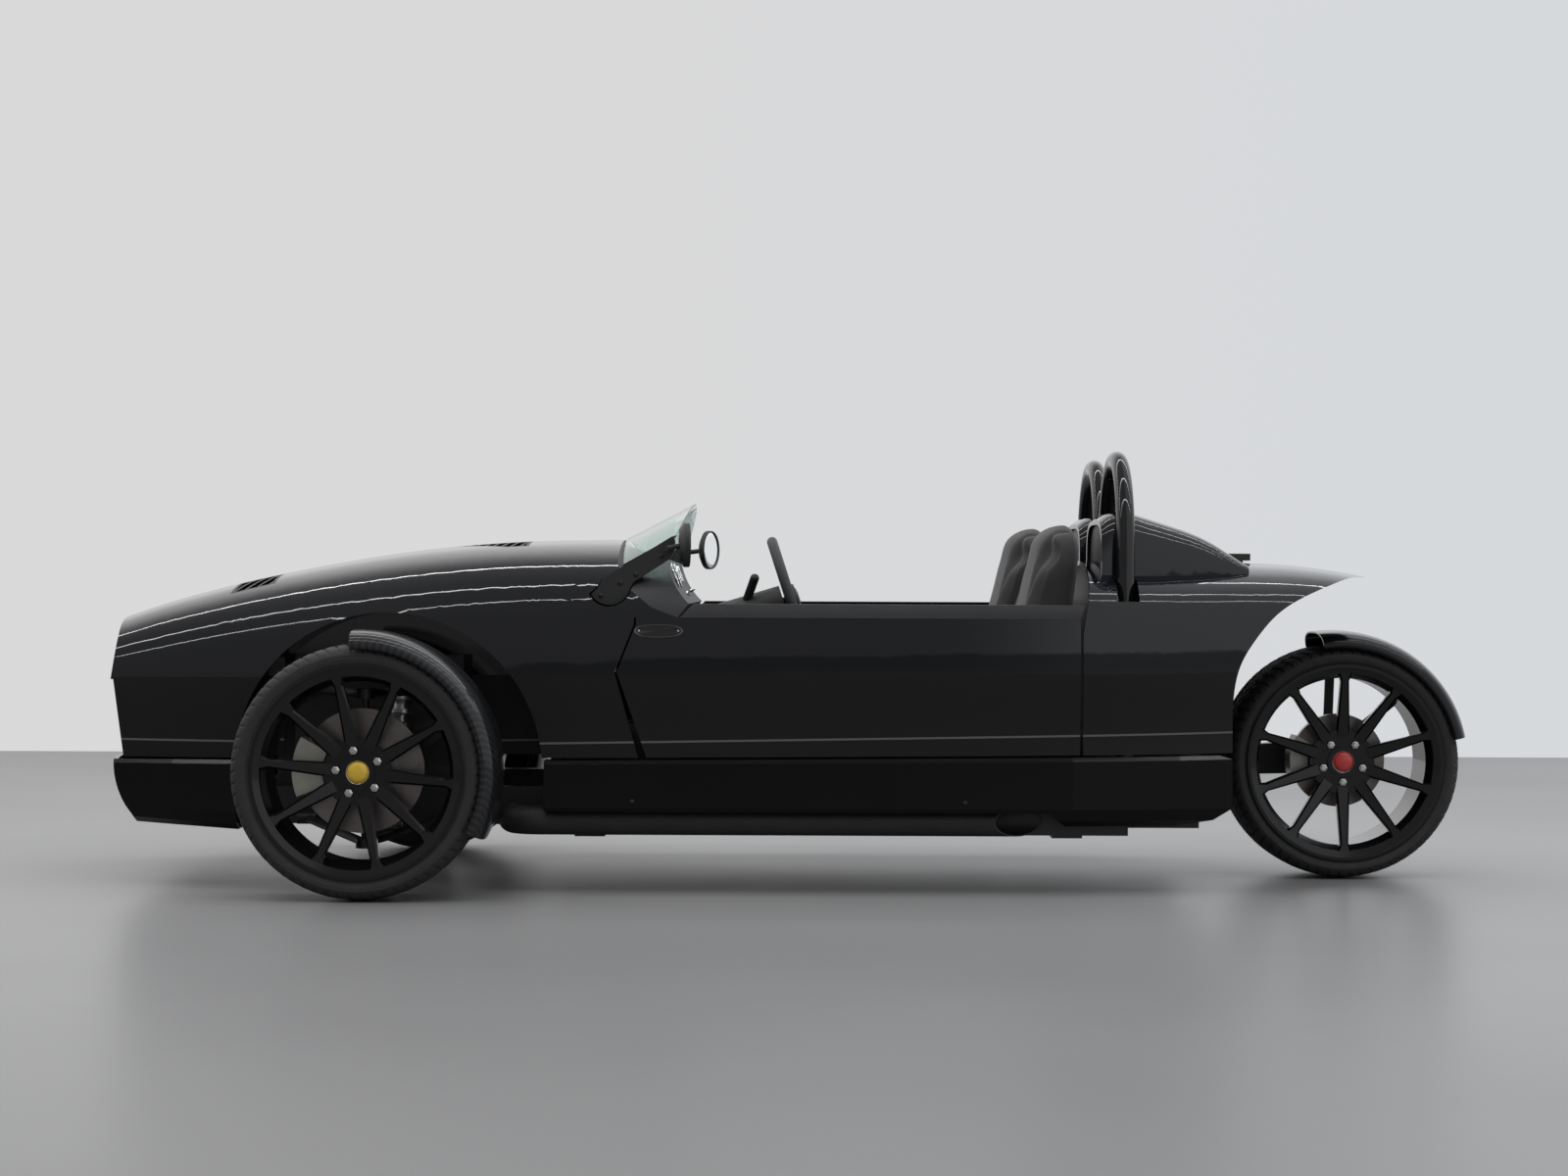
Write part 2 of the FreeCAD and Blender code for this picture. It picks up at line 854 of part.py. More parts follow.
def rear_arch(grow, half_width):
    # What the rear wheel's opening cuts away, behind one smooth edge from the sill up to the tail
    edge = []
    for along, up in rear_arch_shares:
        x = rear_arch_front_x - grow + along * rear_arch_length
        edge.append(Vector(x, -half_width, rear_arch_low_z + grow + up * rear_arch_height))
    curve = Part.BSplineCurve()
    curve.interpolate(edge)
    far_x = along_body(1) + body_half_width
    high_z = fairing_height + overrun
    corners = [
        edge[-1],
        Vector(edge[-1].x, -half_width, high_z),
        Vector(far_x, -half_width, high_z),
        Vector(far_x, -half_width, ground_clearance),
        Vector(edge[0].x, -half_width, ground_clearance),
        edge[0],
    ]
    face = Part.Face(Part.Wire([curve.toShape()] + Part.makePolygon(corners).Edges))
    return face.extrude(Vector(0, 2 * half_width, 0))


def behind_cockpit(shift):
    # Everything behind the rear edge of the door opening, leaning back above the door
    far = along_body(1) + body_half_width
    lean_x = bulkhead_lean_x + shift
    return side_prism(
        [
            (door_rear_x + shift, ground_clearance),
            (door_rear_x + shift, door_top_z - trim_height),
            (door_rear_top_x + shift, door_top_z + trim_height),
            (lean_x, fairing_height + overrun),
            (far, fairing_height + overrun),
            (far, ground_clearance),
        ],
        -body_half_width - overrun,
        body_half_width + overrun,
    )


def rear_body():
    wide = body_half_width + overrun
    outer_humps = [fairing(0, LEFT), fairing(0, RIGHT)]
    inner_humps = [fairing(skin_wall, LEFT), fairing(skin_wall, RIGHT)]
    outer = envelope(0, 0).fuse(outer_humps).common(behind_cockpit(0))
    inner = envelope(skin_wall, overrun).fuse(inner_humps).common(behind_cockpit(-overrun))
    shell = outer.cut(inner)
    liner = rear_arch(rear_arch_liner, wide).cut(rear_arch(0, wide))
    shell = shell.fuse(liner.common(outer)).cut(rear_arch(0, wide))
    for side in (LEFT, RIGHT):
        shell = shell.cut(tail_lamp_bore(side, tail_lamp_radius))
        outboard = side * (hoop_y + hoop_leg_half_gap)
        inboard = side * (hoop_y - hoop_leg_half_gap)
        hole = hoop_tube_radius + hoop_clearance
        for y in (outboard, inboard):
            low = Vector(hoop_x, y, hoop_foot_z)
            shell = shell.cut(Part.makeCylinder(hole, hoop_top_z - hoop_foot_z, low, Z_AXIS))
        low = Vector(hoop_x, outboard, hoop_notch_floor_z)
        notch = Part.makeCylinder(hoop_notch_radius, hoop_top_z - hoop_notch_floor_z, low, Z_AXIS)
        way_out = box(
            hoop_x - hoop_notch_radius,
            hoop_x + hoop_notch_radius,
            outboard,
            side * wide,
            hoop_notch_floor_z,
            hoop_top_z,
        )
        shell = shell.cut([notch, way_out])
    solids = sorted(shell.Solids, key=lambda s: s.Volume)
    return solids[-1].removeSplitter()


def skirt_section(x, inset, bottom_z, top_z):
    share = (x - nose_x) / body_length
    half = width_at(share) + skirt_proud - inset
    turn = skirt_turn - inset / 2
    low = bottom_z + inset
    points = [
        (half - skirt_proud, top_z),
        (half, top_z - skirt_proud),
        (half, low + turn),
        (half - turn / 3, low + turn / 3),
        (half - turn, low),
    ]
    ring = [Vector(x, -y, z) for y, z in points] + [Vector(x, y, z) for y, z in reversed(points)]
    return Part.makePolygon(ring + ring[:1])


def width_at(share):
    # The body's half width at a place along it, straight between the stations
    rows = envelope_shares
    for low, high in zip(rows, rows[1:]):
        if share <= high[0]:
            part = (share - low[0]) / (high[0] - low[0])
            return body_half_width * (low[1] + part * (high[1] - low[1]))
    return body_half_width * rows[-1][1]


def skirt(inset, lift, x0, x1, low0, low1):
    # The lower body's form between two stations
    inner_stations = [along_body(row[0]) for row in envelope_shares]
    stations = [x0] + [x for x in inner_stations if x0 + overrun < x < x1 - overrun] + [x1]
    wires = []
    for x in stations:
        low = low0 + (low1 - low0) * (x - x0) / (x1 - x0)
        wires.append(skirt_section(x, inset, low, sill_line_z(x) - skirt_gap + lift))
    return Part.makeLoft(wires, True, True)


def valance_face(inset):
    axis_x = nose_x + nose_plan_radius
    reach = nose_plan_radius - inset - skirt_proud
    top = Vector(axis_x - reach, 0, sill_line_front_z)
    mid = Vector(axis_x - reach + skirt_proud, 0, (sill_line_front_z + valance_bottom_front_z) / 2)
    foot = Vector(axis_x - reach + skirt_turn, 0, valance_bottom_front_z + skirt_turn / 3)
    low = Vector(foot.x + skirt_turn, 0, valance_bottom_front_z - overrun)
    edges = [
        Part.makeLine(Vector(axis_x, 0, low.z), low),
        Part.makeLine(low, foot),
        Part.Arc(foot, mid, top).toShape(),
        Part.makeLine(top, Vector(top.x, 0, hood_height)),
        Part.makeLine(Vector(top.x, 0, hood_height), Vector(axis_x, 0, hood_height)),
        Part.makeLine(Vector(axis_x, 0, hood_height), Vector(axis_x, 0, low.z)),
    ]
    face = Part.Face(Part.Wire(edges))
    return face.revolve(Vector(axis_x, 0, 0), Z_AXIS, 360)


def front_valance():
    x0 = nose_x - overrun
    low = (valance_bottom_front_z, valance_bottom_rear_z)
    outer = skirt(0, 0, x0, valance_rear_x, *low).common(valance_face(0))
    inner = skirt(skin_wall, overrun, x0, valance_rear_x + overrun, *low)
    inner = inner.common(valance_face(skin_wall))
    shell = outer.cut(inner)
    brackets = []
    for side in (LEFT, RIGHT):
        shell = shell.cut(wheel_pocket(side, arch_radius, arch_inner_y))
        bracket = box(
            valance_rear_x - valance_bracket,
            front_rail_front_x - seat_gap,
            side * (front_rail_outer_y - valance_bracket),
            side * front_rail_outer_y,
            valance_bottom_rear_z,
            valance_bottom_rear_z + valance_bracket,
        )
        brackets.append(bracket)
    return shell.fuse(brackets).removeSplitter()


def side_sill(side):
    low = (sill_bottom_z, sill_bottom_z)
    outer = skirt(0, 0, sill_front_x, sill_rear_x, *low)
    inner = skirt(skin_wall, -skin_wall, sill_front_x + skin_wall, sill_rear_x - skin_wall, *low)
    shell = outer.cut(inner)
    channel = side_prism(
        [
            (sill_front_x - overrun, pipe_channel_top_z),
            (pipe_channel_end_x, pipe_channel_top_z),
            (pipe_channel_end_x + pipe_channel_ramp, sill_bottom_z - skin_wall),
            (sill_front_x - overrun, sill_bottom_z - skin_wall),
        ],
        -body_half_width - overrun,
        body_half_width + overrun,
    )
    pipe_room = rod(
        pipe_radius + pipe_clearance,
        Vector(sill_front_x - overrun, side * pipe_y, pipe_z),
        Vector(pipe_tip_x, side * pipe_y, pipe_z),
    )
    shell = shell.cut([channel, pipe_room])
    keep = box(
        sill_front_x - overrun,
        sill_rear_x + overrun,
        side * (side_rail_outer_y + seat_gap),
        side * (body_half_width + overrun),
        sill_bottom_z - overrun,
        sill_line_rear_z + overrun,
    )
    return shell.common(keep)


def exhaust_pipe(side):
    # A straight pipe along the sill whose front end turns in and whose tip is cut on a slant
    turn_x = pipe_front_x
    def tube(radius):
        straight = Part.makeCylinder(radius, pipe_tip_x - turn_x, Vector(turn_x, -pipe_y, pipe_z), X_AXIS)
        ring = Part.Face(Part.Wire(Part.makeCircle(radius, Vector(turn_x, -pipe_y, pipe_z), X_AXIS)))
        centre = Vector(turn_x, -pipe_y + pipe_elbow_radius, 0)
        elbow = ring.revolve(centre, Z_AXIS, -90)
        end_y = -front_rail_outer_y - seat_gap
        x = turn_x - pipe_elbow_radius
        stub = cylinder_y(radius, -pipe_y + pipe_elbow_radius, end_y, x, pipe_z)
        return straight.fuse([elbow, stub]) if end_y > -pipe_y + pipe_elbow_radius else straight.fuse(elbow)
    pipe = tube(pipe_radius).cut(tube(pipe_radius - pipe_wall))
    tip = pipe_tip_x
    slash = Part.Face(
        Part.makePolygon(
            [
                Vector(tip - pipe_tip_slash, -pipe_y - pipe_radius, pipe_z - pipe_radius * 2),
                Vector(tip, -pipe_y + pipe_radius, pipe_z - pipe_radius * 2),
                Vector(tip + overrun, -pipe_y + pipe_radius, pipe_z - pipe_radius * 2),
                Vector(tip + overrun, -pipe_y - pipe_radius * 2, pipe_z - pipe_radius * 2),
                Vector(tip - pipe_tip_slash, -pipe_y - pipe_radius * 2, pipe_z - pipe_radius * 2),
                Vector(tip - pipe_tip_slash, -pipe_y - pipe_radius, pipe_z - pipe_radius * 2),
            ]
        )
    ).extrude(Vector(0, 0, pipe_radius * 4))
    pipe = pipe.cut(slash)
    inside = rod(pipe_radius - pipe_wall, Vector(turn_x, -pipe_y, pipe_z), Vector(tip, -pipe_y, pipe_z))
    for share in hanger_shares:
        x = turn_x + share * (pipe_tip_x - turn_x)
        hanger = box(
            x,
            x + hanger_length,
            seat_gap - side_rail_outer_y,
            seat_gap - side_rail_outer_y + hanger_thick,
            pipe_z,
            side_rail_bottom_z - seat_gap,
        )
        pipe = pipe.fuse(hanger.cut(inside))
    pipe = pipe.removeSplitter()
    return pipe if side == LEFT else mirrored(pipe)


def chassis_tub():
    # A folded floor with sill beams, two cross walls that fill the body's form, and the front rails
    bottom = ground_clearance
    high = fairing_height + overrun
    wide = body_half_width + overrun
    inside_front = envelope(skin_wall + seat_gap, 0)
    inside_rear = inside_front.fuse([fairing(skin_wall + seat_gap, side) for side in (LEFT, RIGHT)])
    firewall = inside_front.common(
        box(firewall_x, firewall_x + firewall_thick, -wide, wide, sill_line_front_z, high)
    )
    bulkhead = inside_rear.common(
        box(bulkhead_x, bulkhead_x + bulkhead_thick, -wide, wide, sill_line_front_z, high)
    )
    floor_y = floor_half_width
    rail_y = side_rail_outer_y
    parts = [
        firewall,
        bulkhead,
        box(firewall_x, floor_rear_x, -floor_y, floor_y, bottom, bottom + floor_thick),
        box(firewall_x, firewall_x + firewall_thick, -floor_y, floor_y, bottom, sill_line_rear_z),
        box(firewall_x, firewall_x + firewall_thick, -rail_y, rail_y, side_rail_bottom_z, sill_line_rear_z),
        box(firewall_x, bulkhead_x, -tunnel_half_width, tunnel_half_width, bottom, tunnel_top_z),
        box(bulkhead_x, bulkhead_x + bulkhead_thick, -floor_y, floor_y, bottom, sill_line_rear_z),
        box(bulkhead_x, bulkhead_x + bulkhead_thick, -rail_y, rail_y, side_rail_bottom_z, sill_line_rear_z),
        box(
            bulkhead_x,
            hoop_x + hoop_beam_depth / 2,
            -hoop_y - hoop_leg_half_gap - hoop_tube_radius,
            hoop_y + hoop_leg_half_gap + hoop_tube_radius,
            hoop_foot_z - hoop_beam_height,
            hoop_foot_z,
        ),
        box(
            front_rail_front_x,
            front_rail_front_x + cross_member,
            -front_rail_outer_y,
            front_rail_outer_y,
            front_rail_bottom_z,
            front_rail_top_z,
        ),
    ]
    for side in (LEFT, RIGHT):
        inner = side * side_rail_inner_y
        outer = side * side_rail_outer_y
        parts.append(box(firewall_x, side_rail_rear_x, inner, outer, side_rail_bottom_z, side_rail_top_z))
        parts.append(box(firewall_x, floor_rear_x, side * floor_y, inner, bottom, side_rail_bottom_z))
        inner = side * front_rail_inner_y
        outer = side * front_rail_outer_y
        parts.append(box(front_rail_front_x, firewall_x, inner, outer, front_rail_bottom_z, front_rail_top_z))
        mount_x = engine_front_x + engine_length / 2
        parts.append(
            box(
                mount_x - engine_mount / 2,
                mount_x + engine_mount / 2,
                side * (engine_half_width + seat_gap),
                inner,
                front_rail_top_z - engine_mount / 2,
                front_rail_top_z,
            )
        )
        parts.append(
            box(
                front_axle_x - tower_half_length,
                front_axle_x + tower_half_length,
                outer,
                outer - side * tower_thick,
                front_rail_top_z,
                tower_top_z,
            ).cut(cylinder_y(boot_radius, -wide, wide, front_axle_x, shaft_z))
        )
        x, _, z = damper_ends()[1]
        parts.append(
            box(
                x - damper_radius,
                x + damper_radius,
                outer,
                side * (damper_high_y + damper_rod_radius * 2),
                z + damper_seat_rise() + seat_gap,
                z + damper_seat_rise() + seat_gap + damper_mount_thick,
            )
        )
        plate = side * (swing_pivot_half_length + seat_gap)
        parts.append(
            box(
                bulkhead_x,
                swing_pivot_x + swing_pivot_radius * 2,
                plate,
                plate + side * pivot_plate_thick,
                bottom,
                swing_pivot_z + swing_pivot_radius * 2,
            )
        )
        for x in (jack_front_x, jack_rear_x):
            parts.append(
                box(
                    x - jack_pad / 2,
                    x + jack_pad / 2,
                    side * (jack_y - jack_pad / 2),
                    side * (jack_y + jack_pad / 2),
                    bottom - jack_pad_drop,
                    bottom,
                )
            )
    return fused(parts)


def engine_block():
    return box(
        engine_front_x,
        engine_front_x + engine_length,
        -engine_half_width,
        engine_half_width,
        engine_bottom_z,
        engine_top_z,
    )


def roll_hoop(side):
    # One bent tube: two upright legs and a half circle over the seat
    top = hoop_top_z - hoop_tube_radius
    spring_z = top - hoop_leg_half_gap
    y = side * hoop_y
    ring = Part.makeCircle(hoop_tube_radius, Vector(hoop_x, y - hoop_leg_half_gap, spring_z), Z_AXIS)
    section = Part.Face(Part.Wire(ring))
    bend = section.revolve(Vector(hoop_x, y, spring_z), X_AXIS, -180)
    legs = []
    for dy in (-hoop_leg_half_gap, hoop_leg_half_gap):
        foot = Vector(hoop_x, y + dy, hoop_foot_z + seat_gap)
        legs.append(rod(hoop_tube_radius, foot, Vector(hoop_x, y + dy, spring_z)))
    return fused([bend] + legs)


def seat_outline(proud, top_z):
    # A seat in the side view: cushion, leaning front of the back, round top edge and rear face
    lean = math.tan(math.radians(seat_back_lean_deg))
    low_z = ground_clearance + floor_thick + seat_gap
    cushion_z = seat_cushion_top_z + proud
    round_share = 1 - math.sqrt(1 / 2)

    def front_x(z):
        return seat_top_x - (seat_top_z - z) * lean - proud

    def rear_x(z):
        return seat_top_x + seat_back_thick - (seat_top_z - z) * lean / 2

    nose = Vector(seat_cushion_front_x, 0, cushion_z)
    bend = Vector(front_x(top_z - seat_round), 0, top_z)
    edges = [
        Part.makeLine(Vector(nose.x, 0, low_z), nose - Z_AXIS * seat_round),
        Part.Arc(
            nose - Z_AXIS * seat_round,
            nose + (X_AXIS - Z_AXIS) * (seat_round * round_share),
            nose + X_AXIS * seat_round,
        ).toShape(),
        Part.makeLine(nose + X_AXIS * seat_round, Vector(front_x(cushion_z), 0, cushion_z)),
        Part.makeLine(Vector(front_x(cushion_z), 0, cushion_z), bend - Z_AXIS * seat_round),
        Part.Arc(
            bend - Z_AXIS * seat_round,
            bend + (X_AXIS - Z_AXIS) * (seat_round * round_share),
            bend + X_AXIS * seat_round,
        ).toShape(),
        Part.makeLine(bend + X_AXIS * seat_round, Vector(rear_x(top_z), 0, top_z)),
        Part.makeLine(Vector(rear_x(top_z), 0, top_z), Vector(rear_x(low_z), 0, low_z)),
        Part.makeLine(Vector(rear_x(low_z), 0, low_z), Vector(nose.x, 0, low_z)),
    ]
    return Part.Face(Part.Wire(edges))


def seat(side):
    # A bucket seat as one soft closed solid: a cushion and a back between raised side bolsters
    half = seat_width / 2
    middle = seat_outline(0, seat_top_z)
    middle.translate(Vector(0, -half, 0))
    body = middle.extrude(Vector(0, seat_width, 0))
    bolster = seat_outline(seat_bolster_proud, seat_bolster_top_z)
    for start in (-half, half - seat_bolster_width):
        pad = bolster.copy()
        pad.translate(Vector(0, start, 0))
        body = body.fuse(pad.extrude(Vector(0, seat_bolster_width, 0)))
    frame = box(
        seat_cushion_front_x - overrun,
        seat_top_x + seat_back_thick + overrun,
        -half,
        half,
        ground_clearance,
        seat_top_z,
    )
    upper = [e for e in frame.Edges if e.CenterOfMass.z > seat_top_z - seat_round and e.Length > seat_width]
    body = body.common(frame.makeFillet(seat_shoulder_round, upper)).removeSplitter()
    ahead = seat_right_ahead if side == RIGHT else 0
    body.translate(Vector(-ahead, side * seat_y, 0))
    return body


def column_axis():
    tilt = math.radians(wheel_tilt_deg)
    return Vector(math.cos(tilt), 0, math.sin(tilt))


def column_shroud(grow):
    along = column_axis()
    start = Vector(wheel_hub_x, -seat_y, wheel_hub_z) - along * (wheel_hub_thick / 2 + column_gap)
    length = (start.x - dash_mid_x) / along.x + column_sink
    root_radius = column_radius * column_flare_share
    return Part.makeCone(column_radius + grow, root_radius + grow, length, start, along * -1)


def steering_column():
    along = column_axis()
    start = Vector(wheel_hub_x, -seat_y, wheel_hub_z) - along * (wheel_hub_thick / 2 + column_gap)
    lever_root = start - along * lever_set_back
    lever_tip = lever_root + Vector(lever_lean, -lever_out, lever_rise)
    lever = [rod(lever_radius, lever_root, lever_tip), Part.makeSphere(lever_radius, lever_tip)]
    bore_end = start - along * steering_shaft_length
    bore = rod(steering_shaft_radius + spindle_clearance, bore_end, start + along)
    return column_shroud(0).fuse(lever).cut(bore).removeSplitter()


def steering_wheel():
    ring = Part.makeTorus(wheel_ring_radius - wheel_ring_tube, wheel_ring_tube)
    hub = Part.makeCylinder(wheel_hub_radius, wheel_hub_thick, Vector(0, 0, -wheel_hub_thick / 2))
    spokes = []
    for i in range(wheel_spoke_count):
        bar = Part.makeBox(
            wheel_ring_radius - wheel_ring_tube,
            wheel_spoke_width,
            wheel_spoke_thick,
            Vector(0, -wheel_spoke_width / 2, -wheel_spoke_thick / 2),
        )
        bar.rotate(Vector(0, 0, 0), Z_AXIS, 180 + 360 / wheel_spoke_count * i)
        spokes.append(bar)
    shaft_end = wheel_hub_thick / 2 + column_gap + steering_shaft_length - panel_gap
    shaft = Part.makeCylinder(steering_shaft_radius, shaft_end, Vector(0, 0, -shaft_end))
    wheel = fused([ring, hub, shaft] + spokes)
    wheel.rotate(Vector(0, 0, 0), Y_AXIS, 90 - wheel_tilt_deg)
    wheel.translate(Vector(wheel_hub_x, -seat_y, wheel_hub_z))
    return wheel


def door_mirror(side):
    # A round head on a bent stalk that starts at the outer face of the windscreen bar
    turn = mirror_left_turn_deg if side == LEFT else mirror_right_turn_deg
    x = mirror_left_x if side == LEFT else mirror_right_x
    half = mirror_thick / 2
    head = Part.makeCylinder(mirror_radius, half, Vector(0, 0, 0), X_AXIS)
    dome = Part.makeCone(mirror_radius * mirror_dome_share, mirror_radius, half, Vector(-half, 0, 0), X_AXIS)
    head = head.fuse(dome)
    head.rotate(Vector(0, 0, 0), Z_AXIS, -side * turn)
    centre = Vector(x, side * mirror_y, mirror_z)
    head.translate(centre)
    face_y = screen_y + bar_thick + seat_gap
    foot = bar_point(mirror_foot_share) + Vector(0, side * face_y, 0)
    elbow = foot + Vector(0, side * mirror_stalk_radius * 2, 0)
    post = rod(mirror_stalk_radius, foot, elbow + Vector(0, side * mirror_stalk_radius, 0))
    arm = rod(mirror_stalk_radius, elbow, centre)
    return head.fuse([post, arm]).removeSplitter()


def rim_profile(half_width):
    # Section of the rim barrel: (radius, distance outboard of the wheel's middle plane)
    well_out = half_width - rim_well_inset
    bead_out = half_width - rim_bead_seat
    flange_out = half_width - rim_lip
    barrel_out = half_width - rim_barrel_inset
    return [
        (rim_radius, half_width),
        (rim_radius, flange_out),
        (rim_bead_radius, flange_out),
        (rim_bead_radius, bead_out),
        (rim_well_radius + rim_wall, well_out),
        (rim_well_radius + rim_wall, -well_out),
        (rim_bead_radius, -bead_out),
        (rim_bead_radius, -flange_out),
        (rim_radius, -flange_out),
        (rim_radius, -half_width),
        (rim_barrel_radius, -half_width),
        (rim_barrel_radius, -barrel_out),
        (rim_well_radius, -well_out),
        (rim_well_radius, well_out),
        (rim_barrel_radius, barrel_out),
        (rim_barrel_radius, flange_out),
        (rim_radius - rim_lip, half_width),
    ]


def turned(points):
    # Turns a (radius, outboard) outline about the wheel axis. Outboard is -Y, the left side
    ring = [Vector(r, -o, 0) for r, o in points]
    face = Part.Face(Part.makePolygon(ring + ring[:1]))
    return face.revolve(Vector(0, 0, 0), Y_AXIS, 360)


def spoke_section(radius, out, width):
    # A spoke cut across: a flat outer face with bevelled edges, and square inner corners
    half = width / 2
    ring = [
        Vector(radius, -out, spoke_bevel - half),
        Vector(radius, -out, half - spoke_bevel),
        Vector(radius, spoke_bevel - out, half),
        Vector(radius, spoke_depth - out, half),
        Vector(radius, spoke_depth - out, -half),
        Vector(radius, spoke_bevel - out, -half),
    ]
    return Part.makePolygon(ring + ring[:1])


def rim(half_width, spoke_phase_deg, stud_phase_deg):
    # Barrel, hub pad and straight spokes that rise from the pad to the rim's outer lip and flare there
    face_out = half_width - hub_pad_set_back
    lip_out = half_width - rim_lip
    root = hub_pad_radius - spoke_root_width / 2
    tip = rim_barrel_radius + rim_lip / 2
    neck = root + spoke_neck_share * (tip - root)
    neck_out = face_out + spoke_neck_share * (lip_out - face_out)
    sections = [
        spoke_section(root, face_out, spoke_root_width),
        spoke_section(neck, neck_out, spoke_neck_width),
        spoke_section(tip, lip_out, spoke_tip_width),
    ]
    pieces = [
        cylinder_y(hub_pad_radius, -face_out, -face_out + hub_pad_depth, 0, 0),
        cylinder_y(cap_boss_radius, -face_out - cap_boss_proud, -face_out, 0, 0),
    ]
    for i in range(spoke_count):
        spoke = Part.makeLoft(sections, True, True)
        spoke.rotate(Vector(0, 0, 0), Y_AXIS, -(spoke_phase_deg + 360 / spoke_count * i))
        pieces.append(spoke)
    wheel = turned(rim_profile(half_width)).fuse(pieces)
    for i in range(stud_count):
        angle = math.radians(stud_phase_deg + 360 / stud_count * i)
        x = stud_circle_radius * math.cos(angle)
        z = stud_circle_radius * math.sin(angle)
        floor_y = stud_pocket_depth - face_out
        wheel = wheel.cut(cylinder_y(stud_pocket_radius, -face_out - overrun, floor_y, x, z))
    cap_out = face_out + cap_boss_proud
    wheel = wheel.cut(cylinder_y(cap_radius, -cap_out - overrun, -cap_out + cap_recess, 0, 0))
    return wheel.removeSplitter()


def tyre(radius, half_width):
    # Plain carcass with a flat crown, rounded shoulders and sidewalls, seated on the rim's beads
    bead = rim_bead_radius + seat_gap
    bead_out = half_width - rim_lip * 2
    shoulder = (radius - rim_bead_radius) * tyre_shoulder_share
    half = [
        (radius, half_width * tyre_crown_share),
        (radius - shoulder * tyre_round_drop_share, half_width * tyre_round_width_share),
        (radius - shoulder, half_width * tyre_side_width_share),
        (radius - shoulder * tyre_bulge_drop_share, half_width),
        (rim_radius + seat_gap, bead_out + tyre_wall * tyre_flare_share),
        (bead, bead_out - seat_gap * 2),
        (bead, bead_out - tyre_wall),
        (radius - tyre_wall, half_width * tyre_inside_share - tyre_wall),
    ]
    return turned(half + [(r, -out) for r, out in reversed(half)])


def brake_disc(radius, mount_out, spindle_end_out):
    # Vented disc, its hat, the hub flange and the spindle that turns with them
    hat_in = mount_out - disc_set_back
    hat = turned(
        [
            (0, mount_out),
            (disc_hat_radius, mount_out),
            (disc_hat_radius, hat_in),
            (radius, hat_in),
            (radius, hat_in - disc_thick),
            (disc_hat_radius - disc_hat_wall, hat_in - disc_thick),
            (disc_hat_radius - disc_hat_wall, mount_out - disc_hat_wall - hub_flange_thick),
            (spindle_radius, mount_out - disc_hat_wall - hub_flange_thick),
            (spindle_radius, spindle_end_out),
            (0, spindle_end_out),
        ]
    )
    return hat


def caliper(radius, caliper_radial, hat_out, mid_deg, x, y, z, side):
    # A block that straddles the disc's rim
    mid_out = hat_out - disc_thick / 2
    half = caliper_width / 2
    ring = turned(
        [
            (radius - caliper_radial, mid_out - half),
            (radius + caliper_radial * caliper_over_share, mid_out - half),
            (radius + caliper_radial * caliper_over_share, mid_out + half),
            (radius - caliper_radial, mid_out + half),
        ]
    )
    slot = turned(
        [
            (radius - caliper_radial - overrun, mid_out - disc_thick / 2 - caliper_gap),
            (radius + caliper_roof_gap, mid_out - disc_thick / 2 - caliper_gap),
            (radius + caliper_roof_gap, mid_out + disc_thick / 2 + caliper_gap),
            (radius - caliper_radial - overrun, mid_out + disc_thick / 2 + caliper_gap),
        ]
    )
    reach = radius * 2
    half_angle = math.radians(caliper_arc_deg / 2)
    wedge = side_prism(
        [
            (0, 0),
            (reach * math.cos(half_angle), -reach * math.sin(half_angle)),
            (reach * math.cos(half_angle), reach * math.sin(half_angle)),
        ],
        -half_limit(mid_out, half),
        half_limit(mid_out, half),
    )
    block = ring.cut(slot).common(wedge)
    block.rotate(Vector(0, 0, 0), Y_AXIS, -mid_deg)
    if side == RIGHT:
        block = mirrored(block)
    block.translate(Vector(x, y, z))
    return block


def half_limit(mid_out, half):
    return abs(mid_out) + half * 2


def front_mount_out():
    return front_tyre_half_width - hub_pad_set_back - hub_pad_depth


def rear_mount_out():
    return rear_tyre_half_width - hub_pad_set_back - hub_pad_depth


def placed_left(shape, side):
    moved = shape.copy()
    moved.translate(Vector(front_axle_x, -wheel_y, front_tyre_radius))
    return moved if side == LEFT else mirrored(moved)


